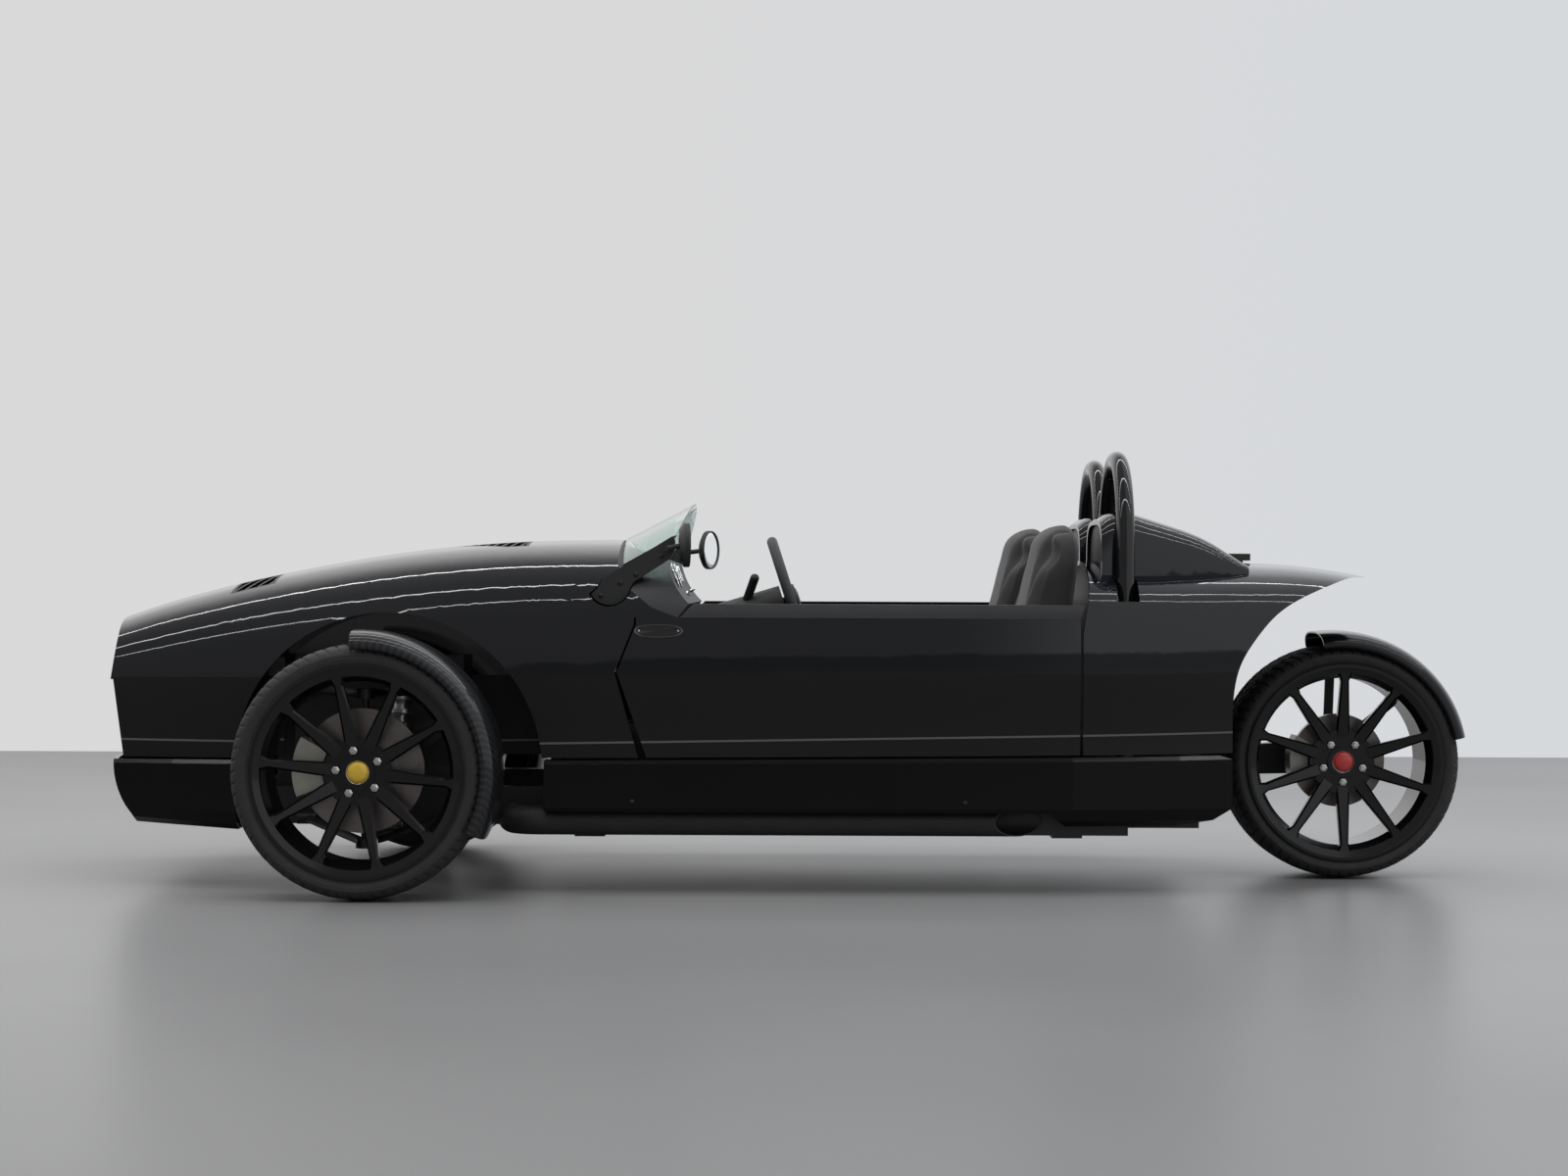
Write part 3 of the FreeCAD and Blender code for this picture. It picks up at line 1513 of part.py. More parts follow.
def knuckle(side):
    # Upright: bearing housing, arm with a ball stem at each end, steering arm, caliper and guard brackets
    hub_z = front_tyre_radius
    mount_y = wheel_y + front_mount_out()
    bearing_out = mount_y - disc_hat_wall - hub_flange_thick - panel_gap
    x = front_axle_x
    inner_y = -kingpin_y + knuckle_thick / 2
    outer_y = -kingpin_y - knuckle_thick / 2
    half = knuckle_width / 2
    low = knuckle_lower_z + ball_stem_length
    high = knuckle_upper_z - ball_stem_length
    pieces = [
        cylinder_y(bearing_radius, inner_y, -bearing_out, x, hub_z),
        box(x - half, x + half, outer_y, inner_y, low, high),
        rod(ball_stem_radius, Vector(x, -kingpin_y, knuckle_lower_z), Vector(x, -kingpin_y, knuckle_upper_z)),
        box(
            x,
            x + steering_arm_length,
            -kingpin_y - steering_arm_width / 2,
            -kingpin_y + steering_arm_width / 2,
            steering_arm_z,
            steering_arm_z + steering_arm_thick,
        ),
    ]
    caliper_face = wheel_y + front_mount_out() - disc_set_back - disc_thick / 2 - caliper_width / 2
    pieces.append(
        box(
            x - disc_radius,
            x,
            -caliper_face + seat_gap,
            -caliper_face + seat_gap + caliper_bracket_thick,
            hub_z - caliper_bracket_height / 2,
            hub_z + caliper_bracket_height / 2,
        )
    )
    fork_y = -wheel_y + front_guard_half_width + guard_seat_gap
    reach = front_guard_radius - front_guard_edge_drop + guard_lap
    root_x = x + knuckle_width / 2
    root_z = hub_z + knuckle_width
    prongs = []
    for angle_deg in front_fork_deg:
        for edge in (-1, 1):
            angle = math.radians(angle_deg) + edge * guard_strut_width / 2 / reach
            prongs.append((x + reach * math.cos(angle), hub_z + reach * math.sin(angle)))
    crotch = (x + bearing_radius * 2, hub_z + guard_strut_width)
    root_top = [(root_x + knuckle_width, root_z + knuckle_width), (root_x, root_z + knuckle_width)]
    fork = side_prism(
        [(root_x, root_z)] + prongs[:2] + [crotch] + prongs[2:] + root_top,
        fork_y,
        fork_y + guard_strut_thick,
    )
    pieces.append(fork)
    pieces.append(
        box(
            x,
            root_x + knuckle_width,
            outer_y,
            fork_y + guard_strut_thick,
            root_z,
            root_z + knuckle_width,
        )
    )
    body = fused(pieces)
    bore = cylinder_y(spindle_radius + spindle_clearance, -bearing_out - overrun, inner_y + overrun, x, hub_z)
    body = body.cut(bore)
    return body if side == LEFT else mirrored(body)


def guard_strip(radius, edge_drop, half_width):
    # A mudguard's cross section as a squared ellipse from edge to crown to edge
    half = []
    for share in arc_steps_share:
        angle = share * math.pi / 2
        across = max(0.0, math.cos(angle)) ** (2 / guard_power) if share < 1 else 0.0
        up = math.sin(angle) ** (2 / guard_power)
        half.append(Vector(radius - edge_drop * (1 - up), half_width * across, 0))
    curve = Part.BSplineCurve()
    curve.interpolate([Vector(p.x, -p.y, 0) for p in half] + half[-2::-1])
    return curve.toShape()


def guard(radius, edge_drop, half_width, low_deg, high_deg):
    # A crowned mudguard with turned down sides: its section turned part of the way round the wheel
    outer = guard_strip(radius, edge_drop, half_width)
    inner = guard_strip(radius - guard_wall, edge_drop, half_width - guard_wall)
    edge = radius - edge_drop
    ends = []
    for side in (LEFT, RIGHT):
        rim_edge = Vector(edge, side * half_width, 0)
        ends.append(Part.makeLine(rim_edge, Vector(edge - guard_wall, side * (half_width - guard_wall), 0)))
    face = Part.Face(Part.Wire(Part.__sortEdges__([outer, ends[0], inner, ends[1]])))
    face.rotate(Vector(0, 0, 0), Y_AXIS, -low_deg)
    return face.revolve(Vector(0, 0, 0), Y_AXIS, low_deg - high_deg)


def front_guard(side):
    shape = guard(
        front_guard_radius,
        front_guard_edge_drop,
        front_guard_half_width,
        front_guard_low_deg,
        front_guard_high_deg,
    )
    return placed_left(shape, side)


def rear_guard():
    shape = guard(
        rear_guard_radius,
        rear_guard_edge_drop,
        rear_guard_half_width,
        rear_guard_low_deg,
        rear_guard_high_deg,
    )
    shape.translate(Vector(rear_axle_x - rear_guard_ahead, 0, rear_tyre_radius))
    return shape


def front_wishbones(side):
    # Two arms a side, each a flat pad at the ball joint, two tubes and two pivot bushes
    arms = []
    pivot_y = front_rail_outer_y + seat_gap + arm_bush_radius
    for pad_z, tube_z in (
        (knuckle_upper_z + seat_gap, knuckle_upper_z + seat_gap + arm_pad_thick / 2),
        (knuckle_lower_z - seat_gap - arm_pad_thick, knuckle_lower_z - seat_gap - arm_pad_thick / 2),
    ):
        joint = Vector(front_axle_x, -kingpin_y, pad_z)
        pad = Part.makeCylinder(arm_pad_radius, arm_pad_thick, joint, Z_AXIS)
        pieces = [pad]
        low = pad_z < front_tyre_radius
        inner_z = lower_arm_inner_z() if low else tube_z
        for end in (-1, 1):
            x = front_axle_x + end * arm_pivot_half_span
            pieces.append(
                rod(arm_tube_radius, Vector(front_axle_x, -kingpin_y, tube_z), Vector(x, -pivot_y, inner_z))
            )
            pieces.append(
                Part.makeCylinder(
                    arm_bush_radius,
                    arm_bush_length,
                    Vector(x - arm_bush_length / 2, -pivot_y, inner_z),
                    X_AXIS,
                )
            )
        arms.append(fused(pieces))
    whole = Part.makeCompound(arms)
    return whole if side == LEFT else mirrored(whole)


def arm_tube_rise(y):
    # Height of the lower wishbone's tube axis above its outer end, at a distance from the car's middle
    pivot_y = front_rail_outer_y + seat_gap + arm_bush_radius
    share = (kingpin_y - y) / (kingpin_y - pivot_y)
    return share * (lower_arm_inner_z() - lower_arm_outer_z())


def lower_arm_outer_z():
    return knuckle_lower_z - seat_gap - arm_pad_thick / 2


def lower_arm_inner_z():
    return front_rail_bottom_z + arm_bush_radius


def damper_lean():
    return math.atan2(damper_low_y - damper_high_y, damper_high_z - knuckle_lower_z)


def damper_seat_rise():
    return damper_rod_radius * math.sin(damper_lean())


def damper_ends():
    # The lower end stands on the rear tube of the lower wishbone, the upper end under the tower's bracket
    x = front_axle_x + damper_behind_axle
    tube_top = lower_arm_outer_z() + arm_tube_rise(damper_low_y) + arm_tube_radius / math.cos(damper_lean())
    low_z = tube_top + damper_body_radius * math.tan(damper_lean()) + seat_gap
    return (x, -damper_low_y, low_z), (x, -damper_high_y, damper_high_z)


def front_damper(side):
    # A damper with its spring, turned as one waved outline about its own axis
    low, high = [Vector(*end) for end in damper_ends()]
    along = high.sub(low)
    length = along.Length
    pitch = length * coil_span_share / coil_turns
    start = length * coil_start_share
    outline = [(0, 0), (damper_body_radius, 0), (damper_body_radius, start)]
    for i in range(coil_turns):
        outline.append((damper_radius, start + pitch * i))
        outline.append((damper_radius, start + pitch * i + coil_wire_radius * 2))
        outline.append((damper_body_radius, start + pitch * i + coil_wire_radius * 2))
        outline.append((damper_body_radius, start + pitch * (i + 1)))
    outline += [(damper_rod_radius, start + pitch * coil_turns), (damper_rod_radius, length), (0, length)]
    points = [Vector(r, 0, h) for r, h in outline]
    body = Part.Face(Part.makePolygon(points + points[:1])).revolve(Vector(0, 0, 0), Z_AXIS, 360)
    turn = FreeCAD.Rotation(Z_AXIS, along)
    body.Placement = FreeCAD.Placement(low, turn)
    return body if side == LEFT else mirrored(body)


def drive_shaft(side):
    start = Vector(front_axle_x, -engine_half_width - seat_gap, shaft_z)
    shaft = rod(shaft_radius, start, Vector(front_axle_x, knuckle_thick - kingpin_y, shaft_z))
    boot = Part.makeCone(boot_radius, shaft_radius, boot_radius * 2, start, Y_AXIS * -1)
    piece = shaft.fuse(boot).removeSplitter()
    return piece if side == LEFT else mirrored(piece)


def swing_arm():
    reach = swing_pivot_half_length
    tube = cylinder_y(swing_pivot_radius, -reach, reach, swing_pivot_x, swing_pivot_z)
    y0 = swing_arm_y - swing_arm_thick / 2
    y1 = swing_arm_y + swing_arm_thick / 2
    beam = side_prism(
        [
            (swing_pivot_x, swing_pivot_z - swing_pivot_radius),
            (rear_axle_x, rear_tyre_radius - swing_arm_height / 2),
            (rear_axle_x, rear_tyre_radius + swing_arm_height / 2),
            (swing_pivot_x, swing_pivot_z + swing_pivot_radius),
        ],
        y0,
        y1,
    )
    hub = cylinder_y(swing_hub_radius, y0, y1, rear_axle_x, rear_tyre_radius)
    bearing_end = -rear_mount_out() + disc_hat_wall + hub_flange_thick + panel_gap
    housing = cylinder_y(bearing_radius, bearing_end, y0, rear_axle_x, rear_tyre_radius)
    caliper_face = caliper_width / 2 - (rear_mount_out() - disc_set_back - disc_thick / 2)
    bracket = box(
        rear_axle_x - rear_disc_radius,
        rear_axle_x,
        caliper_face + seat_gap,
        caliper_face + seat_gap + caliper_bracket_thick,
        rear_tyre_radius - caliper_bracket_height / 2,
        rear_tyre_radius + caliper_bracket_height / 2,
    )
    pieces = [tube, beam, hub, housing, bracket]
    strut_y = rear_guard_half_width + guard_seat_gap
    reach = rear_guard_radius - rear_guard_edge_drop + guard_lap
    for angle_deg in rear_strut_deg:
        strut = Part.makeBox(
            reach,
            guard_strut_thick,
            guard_strut_width,
            Vector(0, strut_y, -guard_strut_width / 2),
        )
        strut.rotate(Vector(0, 0, 0), Y_AXIS, -angle_deg)
        strut.translate(Vector(rear_axle_x, 0, rear_tyre_radius))
        pieces.append(strut)
    body = fused(pieces)
    bore = cylinder_y(
        spindle_radius + spindle_clearance, bearing_end - overrun, y1 + overrun, rear_axle_x, rear_tyre_radius
    )
    return body.cut(bore)


def grille():
    # Level slats on three posts that fill the mouth and follow the inner face of the nose
    pieces = []
    back = nose_x + grille_depth
    half = mouth_half_width + skin_wall
    step = (mouth_top_z - mouth_bottom_z) / slat_count
    for i in range(slat_count):
        z = mouth_bottom_z + step * (i + 1 / 2)
        pieces.append(box(nose_x, back, -half, half, z - slat_thick / 2, z + slat_thick / 2))
    for y in (skin_wall - half, 0, half - skin_wall):
        pieces.append(
            box(
                back - skin_wall,
                back,
                y - skin_wall / 2,
                y + skin_wall / 2,
                mouth_bottom_z - skin_wall,
                mouth_top_z + skin_wall,
            )
        )
    return fused(pieces).common(nose_face(skin_wall + seat_gap))


def headlamp(side):
    # A round lens and its can, the lens following the nose face a little behind it
    start = Vector(nose_x, side * lamp_y, lamp_z)
    can = Part.makeCylinder(lamp_radius - seat_gap, lamp_depth + skin_wall * 2, start, X_AXIS)
    return can.common(nose_face(lamp_set_back))


def stop_lamp():
    bar = box(
        stop_lamp_x - stop_lamp_length / 2,
        stop_lamp_x + stop_lamp_length / 2,
        -stop_lamp_half_width,
        stop_lamp_half_width,
        stop_lamp_z,
        stop_lamp_z + stop_lamp_height,
    )
    foot = box(
        stop_lamp_x - stop_lamp_length / 3,
        stop_lamp_x + stop_lamp_length / 3,
        -stop_lamp_half_width / 2,
        stop_lamp_half_width / 2,
        stop_lamp_z - stop_lamp_foot,
        stop_lamp_z,
    )
    return bar.fuse(foot.cut(envelope(-seat_gap, 0))).removeSplitter()


def tail_lamp_bore(side, radius):
    far_x = rear_arch_front_x + rear_arch_length
    start = Vector(rear_arch_front_x - tail_lamp_depth, side * tail_lamp_y, tail_lamp_z)
    return Part.makeCylinder(radius, far_x - start.x, start, X_AXIS)


def tail_lamp(side):
    # A round lamp in its bore, with its lens along the slope of the wheel opening's liner
    can = tail_lamp_bore(side, tail_lamp_radius - seat_gap)
    return can.cut(rear_arch(-tail_lamp_proud, body_half_width))


def save(name, shape):
    solids = [shape] if shape.ShapeType == "Solid" else shape.Solids
    whole = solids[0] if len(solids) == 1 else Part.makeCompound(solids)
    valid = whole.isValid()
    litres = round(sum(s.Volume for s in solids) / 1e6, 3)
    print(name, len(solids), "solid(s)", litres, "litres", "ok" if valid else "BAD")
    whole.exportStep("parts/" + name + ".step")


def both(maker):
    return Part.makeCompound(maker(LEFT).Solids + maker(RIGHT).Solids)


def main():
    os.makedirs("parts", exist_ok=True)
    save("chassis_tub", chassis_tub())
    save("front_body", front_body())
    save("rear_body", rear_body())
    save("front_valance", front_valance())
    save("side_sills", both(side_sill))
    save("exhaust_pipes", both(exhaust_pipe))
    save("grille", grille())
    save("headlamps", both(headlamp))
    save("stop_lamp", stop_lamp())
    save("tail_lamps", both(tail_lamp))
    save("hood_vents", hood_vents())
    save("windscreen_frame", windscreen_frame())
    save("windscreen_glass", windscreen_pane(0))
    save("dash_panel", dash_panel())
    save("door_mirrors", both(door_mirror))
    save("seats", both(seat))
    save("steering_column", steering_column())
    save("steering_wheel", steering_wheel())
    save("roll_hoops", both(roll_hoop))
    save("engine_block", engine_block())
    save("front_wishbones", both(front_wishbones))
    save("drive_shafts", both(drive_shaft))
    save("front_dampers", both(front_damper))
    save("swing_arm", swing_arm())
    save("rear_mudguard", rear_guard())
    for side, word in ((LEFT, "left"), (RIGHT, "right")):
        save("door_" + word, door(side))
        save("door_trim_" + word, door_trim(side))
        save("knuckle_" + word, knuckle(side))
        save("front_mudguard_" + word, front_guard(side))
        wheel = rim(front_tyre_half_width, front_spoke_phase_deg, front_stud_phase_deg)
        save("front_rim_" + word, placed_left(wheel, side))
        save("front_tyre_" + word, placed_left(tyre(front_tyre_radius, front_tyre_half_width), side))
        mount = front_mount_out()
        disc = brake_disc(disc_radius, mount, kingpin_y - wheel_y)
        save("front_disc_" + word, placed_left(disc, side))
        block = caliper(
            disc_radius,
            front_caliper_radial,
            mount - disc_set_back,
            caliper_front_mid_deg,
            front_axle_x,
            side * wheel_y,
            front_tyre_radius,
            side,
        )
        save("front_caliper_" + word, block)
    wheel = rim(rear_tyre_half_width, rear_spoke_phase_deg, rear_stud_phase_deg)
    wheel.translate(Vector(rear_axle_x, 0, rear_tyre_radius))
    save("rear_rim", wheel)
    rubber = tyre(rear_tyre_radius, rear_tyre_half_width)
    rubber.translate(Vector(rear_axle_x, 0, rear_tyre_radius))
    save("rear_tyre", rubber)
    disc = brake_disc(rear_disc_radius, rear_mount_out(), -swing_arm_y)
    disc.translate(Vector(rear_axle_x, 0, rear_tyre_radius))
    save("rear_disc", disc)
    block = caliper(
        rear_disc_radius,
        rear_caliper_radial,
        rear_mount_out() - disc_set_back,
        caliper_front_mid_deg,
        rear_axle_x,
        0,
        rear_tyre_radius,
        LEFT,
    )
    save("rear_caliper", block)


main()
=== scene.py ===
import math

import bmesh
import bpy
import numpy as np
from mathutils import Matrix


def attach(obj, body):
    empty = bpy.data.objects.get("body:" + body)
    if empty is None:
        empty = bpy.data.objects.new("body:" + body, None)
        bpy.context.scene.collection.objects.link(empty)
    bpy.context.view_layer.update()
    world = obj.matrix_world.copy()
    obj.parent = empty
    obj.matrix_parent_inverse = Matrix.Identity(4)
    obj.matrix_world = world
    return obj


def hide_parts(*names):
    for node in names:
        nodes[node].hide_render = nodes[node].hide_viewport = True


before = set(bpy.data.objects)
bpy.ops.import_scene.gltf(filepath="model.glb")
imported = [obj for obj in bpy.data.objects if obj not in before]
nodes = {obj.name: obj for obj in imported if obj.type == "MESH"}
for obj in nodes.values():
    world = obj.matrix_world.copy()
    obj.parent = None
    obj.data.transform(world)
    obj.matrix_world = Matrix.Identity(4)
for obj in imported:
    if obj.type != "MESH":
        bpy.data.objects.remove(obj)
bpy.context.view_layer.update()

# The room: a pale grey studio with a smooth floor that shines a little and a pale wall far behind.
# Long thin lamps hang along the car under the ceiling, and draw the bright lines on its black paint.
# The camera stands at the car's left side, at the height of the driver's eyes.
scene = bpy.context.scene
scene.view_settings.view_transform = "Standard"


def add(tree, kind, inputs, **settings):
    """Adds a shader node. An input is a number, or the output of another node, which is linked in."""
    made = tree.nodes.new("ShaderNode" + kind)
    for name, value in settings.items():
        setattr(made, name, value)
    for key, value in inputs.items():
        if isinstance(value, bpy.types.NodeSocket):
            tree.links.new(value, made.inputs[key])
        else:
            made.inputs[key].default_value = value
    return made


def sums(tree, operation, *values):
    """The output of one Math node on one, two or three values."""
    return add(tree, "Math", dict(enumerate(values)), operation=operation).outputs[0]


def finish(name, colour, roughness, metallic=0.0):
    """A new material of one colour, roughness and share of metal, with its node tree and shader."""
    material = bpy.data.materials.new(name)
    material.use_nodes = True
    shader = material.node_tree.nodes["Principled BSDF"]
    shader.inputs["Base Color"].default_value = (*colour, 1)
    shader.inputs["Roughness"].default_value = roughness
    shader.inputs["Metallic"].default_value = metallic
    return material, material.node_tree, shader


def place_in(tree):
    """Object coordinates: metres in the car's own frame."""
    return add(tree, "TexCoord", {}).outputs["Object"]


def noise(tree, scale, detail=2.0):
    """Noise on object coordinates, with about `scale` swells to a metre."""
    return add(tree, "TexNoise", {"Vector": place_in(tree), "Scale": scale, "Detail": detail}).outputs["Fac"]


def cloudy_gloss(tree, shader, scale, low, high, detail=2.0):
    """Roughness that wanders between two values with noise."""
    value = add(tree, "MapRange", {"Value": noise(tree, scale, detail), "To Min": low, "To Max": high})
    tree.links.new(value.outputs[0], shader.inputs["Roughness"])


def surface(name, grid, material, round_closed=False, along_closed=False, ends=False, sharp_deg=40):
    """A mesh on a grid of points: four-sided faces between neighbours, joined up where rows or columns close,
    with a flat face over each end where asked."""
    rows, columns = grid.shape[:2]
    i, j = np.meshgrid(
        np.arange(rows if along_closed else rows - 1),
        np.arange(columns if round_closed else columns - 1),
        indexing="ij",
    )
    i, j = i.ravel(), j.ravel()
    up, on = (i + 1) % rows, (j + 1) % columns
    faces = np.stack([i * columns + j, up * columns + j, up * columns + on, i * columns + on], 1).tolist()
    if ends:
        faces += [list(range(columns))[::-1], [(rows - 1) * columns + k for k in range(columns)]]
    mesh = bpy.data.meshes.new(name)
    mesh.from_pydata(grid.reshape(-1, 3).tolist(), [], faces)
    made = bpy.data.objects.new(name, mesh)
    scene.collection.objects.link(made)
    mesh.materials.append(material)
    shell = bmesh.new()
    shell.from_mesh(mesh)
    bmesh.ops.remove_doubles(shell, verts=shell.verts, dist=1e-6)
    bmesh.ops.recalc_face_normals(shell, faces=shell.faces)
    shell.to_mesh(mesh)
    shell.free()
    mesh.polygons.foreach_set("use_smooth", [True] * len(mesh.polygons))
    mesh.set_sharp_from_angle(angle=math.radians(sharp_deg))
    return made


floor_reach, wall_y, floor_drop = 30.0, 5.9, 0.0005
floor_finish, tree, shader = finish("studio_floor", (0.185, 0.186, 0.189), 0.34)
shader.inputs["Specular IOR Level"].default_value = 0.30
cloudy_gloss(tree, shader, 0.7, 0.28, 0.40, 3.0)
across, ahead = np.meshgrid([-floor_reach, floor_reach], [-floor_reach, wall_y], indexing="ij")
floor = surface("studio_floor", np.stack([across, ahead, across * 0 - floor_drop], 2), floor_finish)

# What lights matt surfaces, what the camera sees behind the car, and the dimmest that paint mirrors.
matt_level, seen_level, dim_level = 0.34, 0.70, 0.30
world = bpy.data.worlds.new("studio")
scene.world = world
world.use_nodes = True
tree = world.node_tree
ray = add(tree, "LightPath", {})
towards = add(tree, "SeparateXYZ", {"Vector": add(tree, "TexCoord", {}).outputs["Generated"]})


def rise(value, low, high, start=0.0, end=1.0):
    """A smooth step from start to end, as a value goes from low to high."""
    ends = {"From Min": low, "From Max": high, "To Min": start, "To Max": end}
    return add(tree, "MapRange", {"Value": value, **ends}, interpolation_type="SMOOTHSTEP").outputs[0]


def mixed_level(tree, share, low, high):
    """A number that goes from low to high as the share goes from 0 to 1."""
    return add(tree, "Mix", {"Factor": share, "A": low, "B": high}, data_type="FLOAT").outputs[0]


def mixed(tree, share, first, second):
    """A colour that goes from first to second as the share goes from 0 to 1. Either may come from a node."""
    ends = [end if isinstance(end, bpy.types.NodeSocket) else (*end, 1) for end in (first, second)]
    return add(tree, "Mix", {"Factor": share, 6: ends[0], 7: ends[1]}, data_type="RGBA").outputs[2]


# Paint mirrors a wall opposite the camera that grows brighter upwards, a dark ceiling, and a bright rear end.
ahead = rise(towards.outputs["Y"], -0.25, 0.30)
aloft = rise(towards.outputs["Z"], 0.06, 0.22, 0.68, 0.98)
overhead = rise(towards.outputs["Z"], 0.45, 0.80, 1.0, 0.0)
rearward = rise(towards.outputs["X"], 0.02, 0.30, 0.32, 0.80)
wall = sums(tree, "MULTIPLY", ahead, overhead)
beyond = sums(tree, "MULTIPLY", wall, sums(tree, "SUBTRACT", aloft, dim_level))
mirrored = sums(tree, "MAXIMUM", sums(tree, "ADD", beyond, dim_level), rearward)
unseen = mixed_level(tree, ray.outputs["Is Glossy Ray"], matt_level, mirrored)
seen = sums(tree, "MAXIMUM", ray.outputs["Is Camera Ray"], ray.outputs["Is Transmission Ray"])
backing = tree.nodes["Background"]
tree.links.new(mixed_level(tree, seen, unseen, seen_level), backing.inputs["Strength"])
bluish = rise(towards.outputs["X"], -0.15, 0.25)
tree.links.new(mixed(tree, bluish, (1.0, 0.995, 1.0), (0.965, 0.99, 1.02)), backing.inputs["Color"])


def lamp(name, x, y, z, length, width, power, shines=True):
    """A flat lamp under the ceiling, long along the car, facing down."""
    light = bpy.data.lights.new(name, "AREA")
    light.shape = "RECTANGLE"
    light.size, light.size_y = length, width
    light.energy = power
    made = bpy.data.objects.new(name, light)
    made.location = (x, y, z)
    scene.collection.objects.link(made)
    made.visible_glossy = shines


lamp("soft_ceiling", x=0.0, y=-0.6, z=5.2, length=12.0, width=9.0, power=540, shines=False)
strip_height, strip_length, strip_width, strip_power = 4.4, 13.0, 0.10, 60
for number, across in enumerate((-2.6, -0.5, 2.2)):
    lamp(f"strip_lamp_{number}", 0.0, across, strip_height, strip_length, strip_width, strip_power)

look_down_deg, roll_deg = 0.1, -0.25
camera_data = bpy.data.cameras.new("camera")
camera_data.lens = 70.0
camera_data.sensor_width = 36.0
camera = bpy.data.objects.new("camera", camera_data)
camera.location = (-0.027, -8.57, 0.814)
camera.rotation_euler = (math.radians(90 - look_down_deg), math.radians(roll_deg), 0)
scene.collection.objects.link(camera)
scene.camera = camera

# The chassis: a tub of folded and welded plate with its rails, the wishbones, knuckles and swing arm.
# All are powder coated satin black, with the faint orange peel of baked powder and a slow change of tone.


def give(material, *names):
    """Puts a material on nodes of the construction model."""
    for name in names:
        for held in nodes[name].material_slots:
            held.material = material


def raised(tree, shader, height, distance, strength=1.0):
    """Bump: a value of 0 to 1 stands for a height of up to `distance` metres."""
    bump = add(tree, "Bump", {"Height": height, "Distance": distance, "Strength": strength})
    tree.links.new(bump.outputs[0], shader.inputs["Normal"])


def uneven(tree, shader, scale, height, detail=3.0):
    """Bump of noise, `height` metres tall."""
    raised(tree, shader, noise(tree, scale, detail), height)


def mottled(tree, shader, dark, light, scale):
    """Slow change between two colours, by noise."""
    tree.links.new(mixed(tree, noise(tree, scale, 5.0), dark, light), shader.inputs["Base Color"])


powder_coat, tree, shader = finish("powder_coat", (0.012, 0.012, 0.013), 0.42)
uneven(tree, shader, 700, 0.0002)
mottled(tree, shader, (0.008, 0.008, 0.009), (0.020, 0.020, 0.021), 9)
give(powder_coat, "chassis_tub", "front_wishbones", "swing_arm", "knuckle_left", "knuckle_right")

# The engine: a cast iron block with its gearbox, between the front wheels, drawn as one plain block.
# It shows only from below and through the arches, dull grey, rough from the casting sand.
sand_cast, tree, shader = finish("sand_cast_iron", (0.10, 0.10, 0.105), 0.62, 0.6)
uneven(tree, shader, 260, 0.0006, 5.0)
mottled(tree, shader, (0.07, 0.07, 0.072), (0.15, 0.148, 0.145), 14)
give(sand_cast, "engine_block")

# Drive shafts and dampers: turned steel, the coil springs wound from round wire, all zinc plated.
# The shafts run from the gearbox out to the front wheels, and the dampers carry the weight on the wishbones.
plated, tree, shader = finish("plated_steel", (0.46, 0.46, 0.47), 0.33, 1.0)
uneven(tree, shader, 420, 0.0001)
mottled(tree, shader, (0.38, 0.38, 0.39), (0.55, 0.55, 0.55), 25)
give(plated, "drive_shafts", "front_dampers")

# Brake discs: cast iron, machined across with fine rings where the pads run, and browned by brake dust.
# Each is bolted to its hub behind the rim, and turns with the wheel.


def about_axle(tree, x, z):
    """Object coordinates seen from a wheel's axle: the distance from it, the angle round it, and y."""
    moved = add(tree, "Mapping", {"Vector": place_in(tree), "Location": (-x, 0, -z)}).outputs[0]
    part = add(tree, "SeparateXYZ", {"Vector": moved})
    flat = add(tree, "CombineXYZ", {"X": part.outputs["X"], "Z": part.outputs["Z"]}).outputs[0]
    away = add(tree, "VectorMath", {0: flat}, operation="LENGTH").outputs["Value"]
    angle = sums(tree, "ARCTAN2", part.outputs["Z"], part.outputs["X"])
    return away, angle, part.outputs["Y"]


front_axle, rear_axle = (-1.107, 0.327), (1.528, 0.3235)
lathe_rings = 5200.0


def disc_iron(name, axle):
    """Machined iron, tinted brown: fine rings, 1.2 mm apart, by the sine of the distance from the axle."""
    material, tree, shader = finish(name, (0.17, 0.155, 0.145), 0.30, 1.0)
    away, _, _ = about_axle(tree, *axle)
    raised(tree, shader, sums(tree, "SINE", sums(tree, "MULTIPLY", away, lathe_rings)), 0.00004)
    mottled(tree, shader, (0.12, 0.108, 0.10), (0.23, 0.21, 0.195), 30)
    return material


give(disc_iron("front_disc_iron", front_axle), "front_disc_left", "front_disc_right")
give(disc_iron("rear_disc_iron", rear_axle), "rear_disc")

# Calipers: cast aluminium, clear anodised to a silver beige.
# They are bolted to the knuckles in front and to the swing arm behind, and reach over the edge of the disc.
anodised, tree, shader = finish("anodised_casting", (0.50, 0.48, 0.42), 0.38, 0.4)
uneven(tree, shader, 500, 0.0002)
mottled(tree, shader, (0.38, 0.37, 0.32), (0.52, 0.51, 0.45), 40)
give(anodised, "front_caliper_left", "front_caliper_right", "rear_caliper")

# Rims: cast aluminium with ten straight spokes, painted gloss black and lacquered.
# Each has five silver wheel nuts in its pockets and a domed cap in the middle, yellow in front, red behind.
rim_lacquer, tree, shader = finish("rim_lacquer", (0.004, 0.004, 0.0045), 0.16)
uneven(tree, shader, 300, 0.00001)
shader.inputs["Specular IOR Level"].default_value = 0.42
give(rim_lacquer, "front_rim_left", "front_rim_right", "rear_rim")


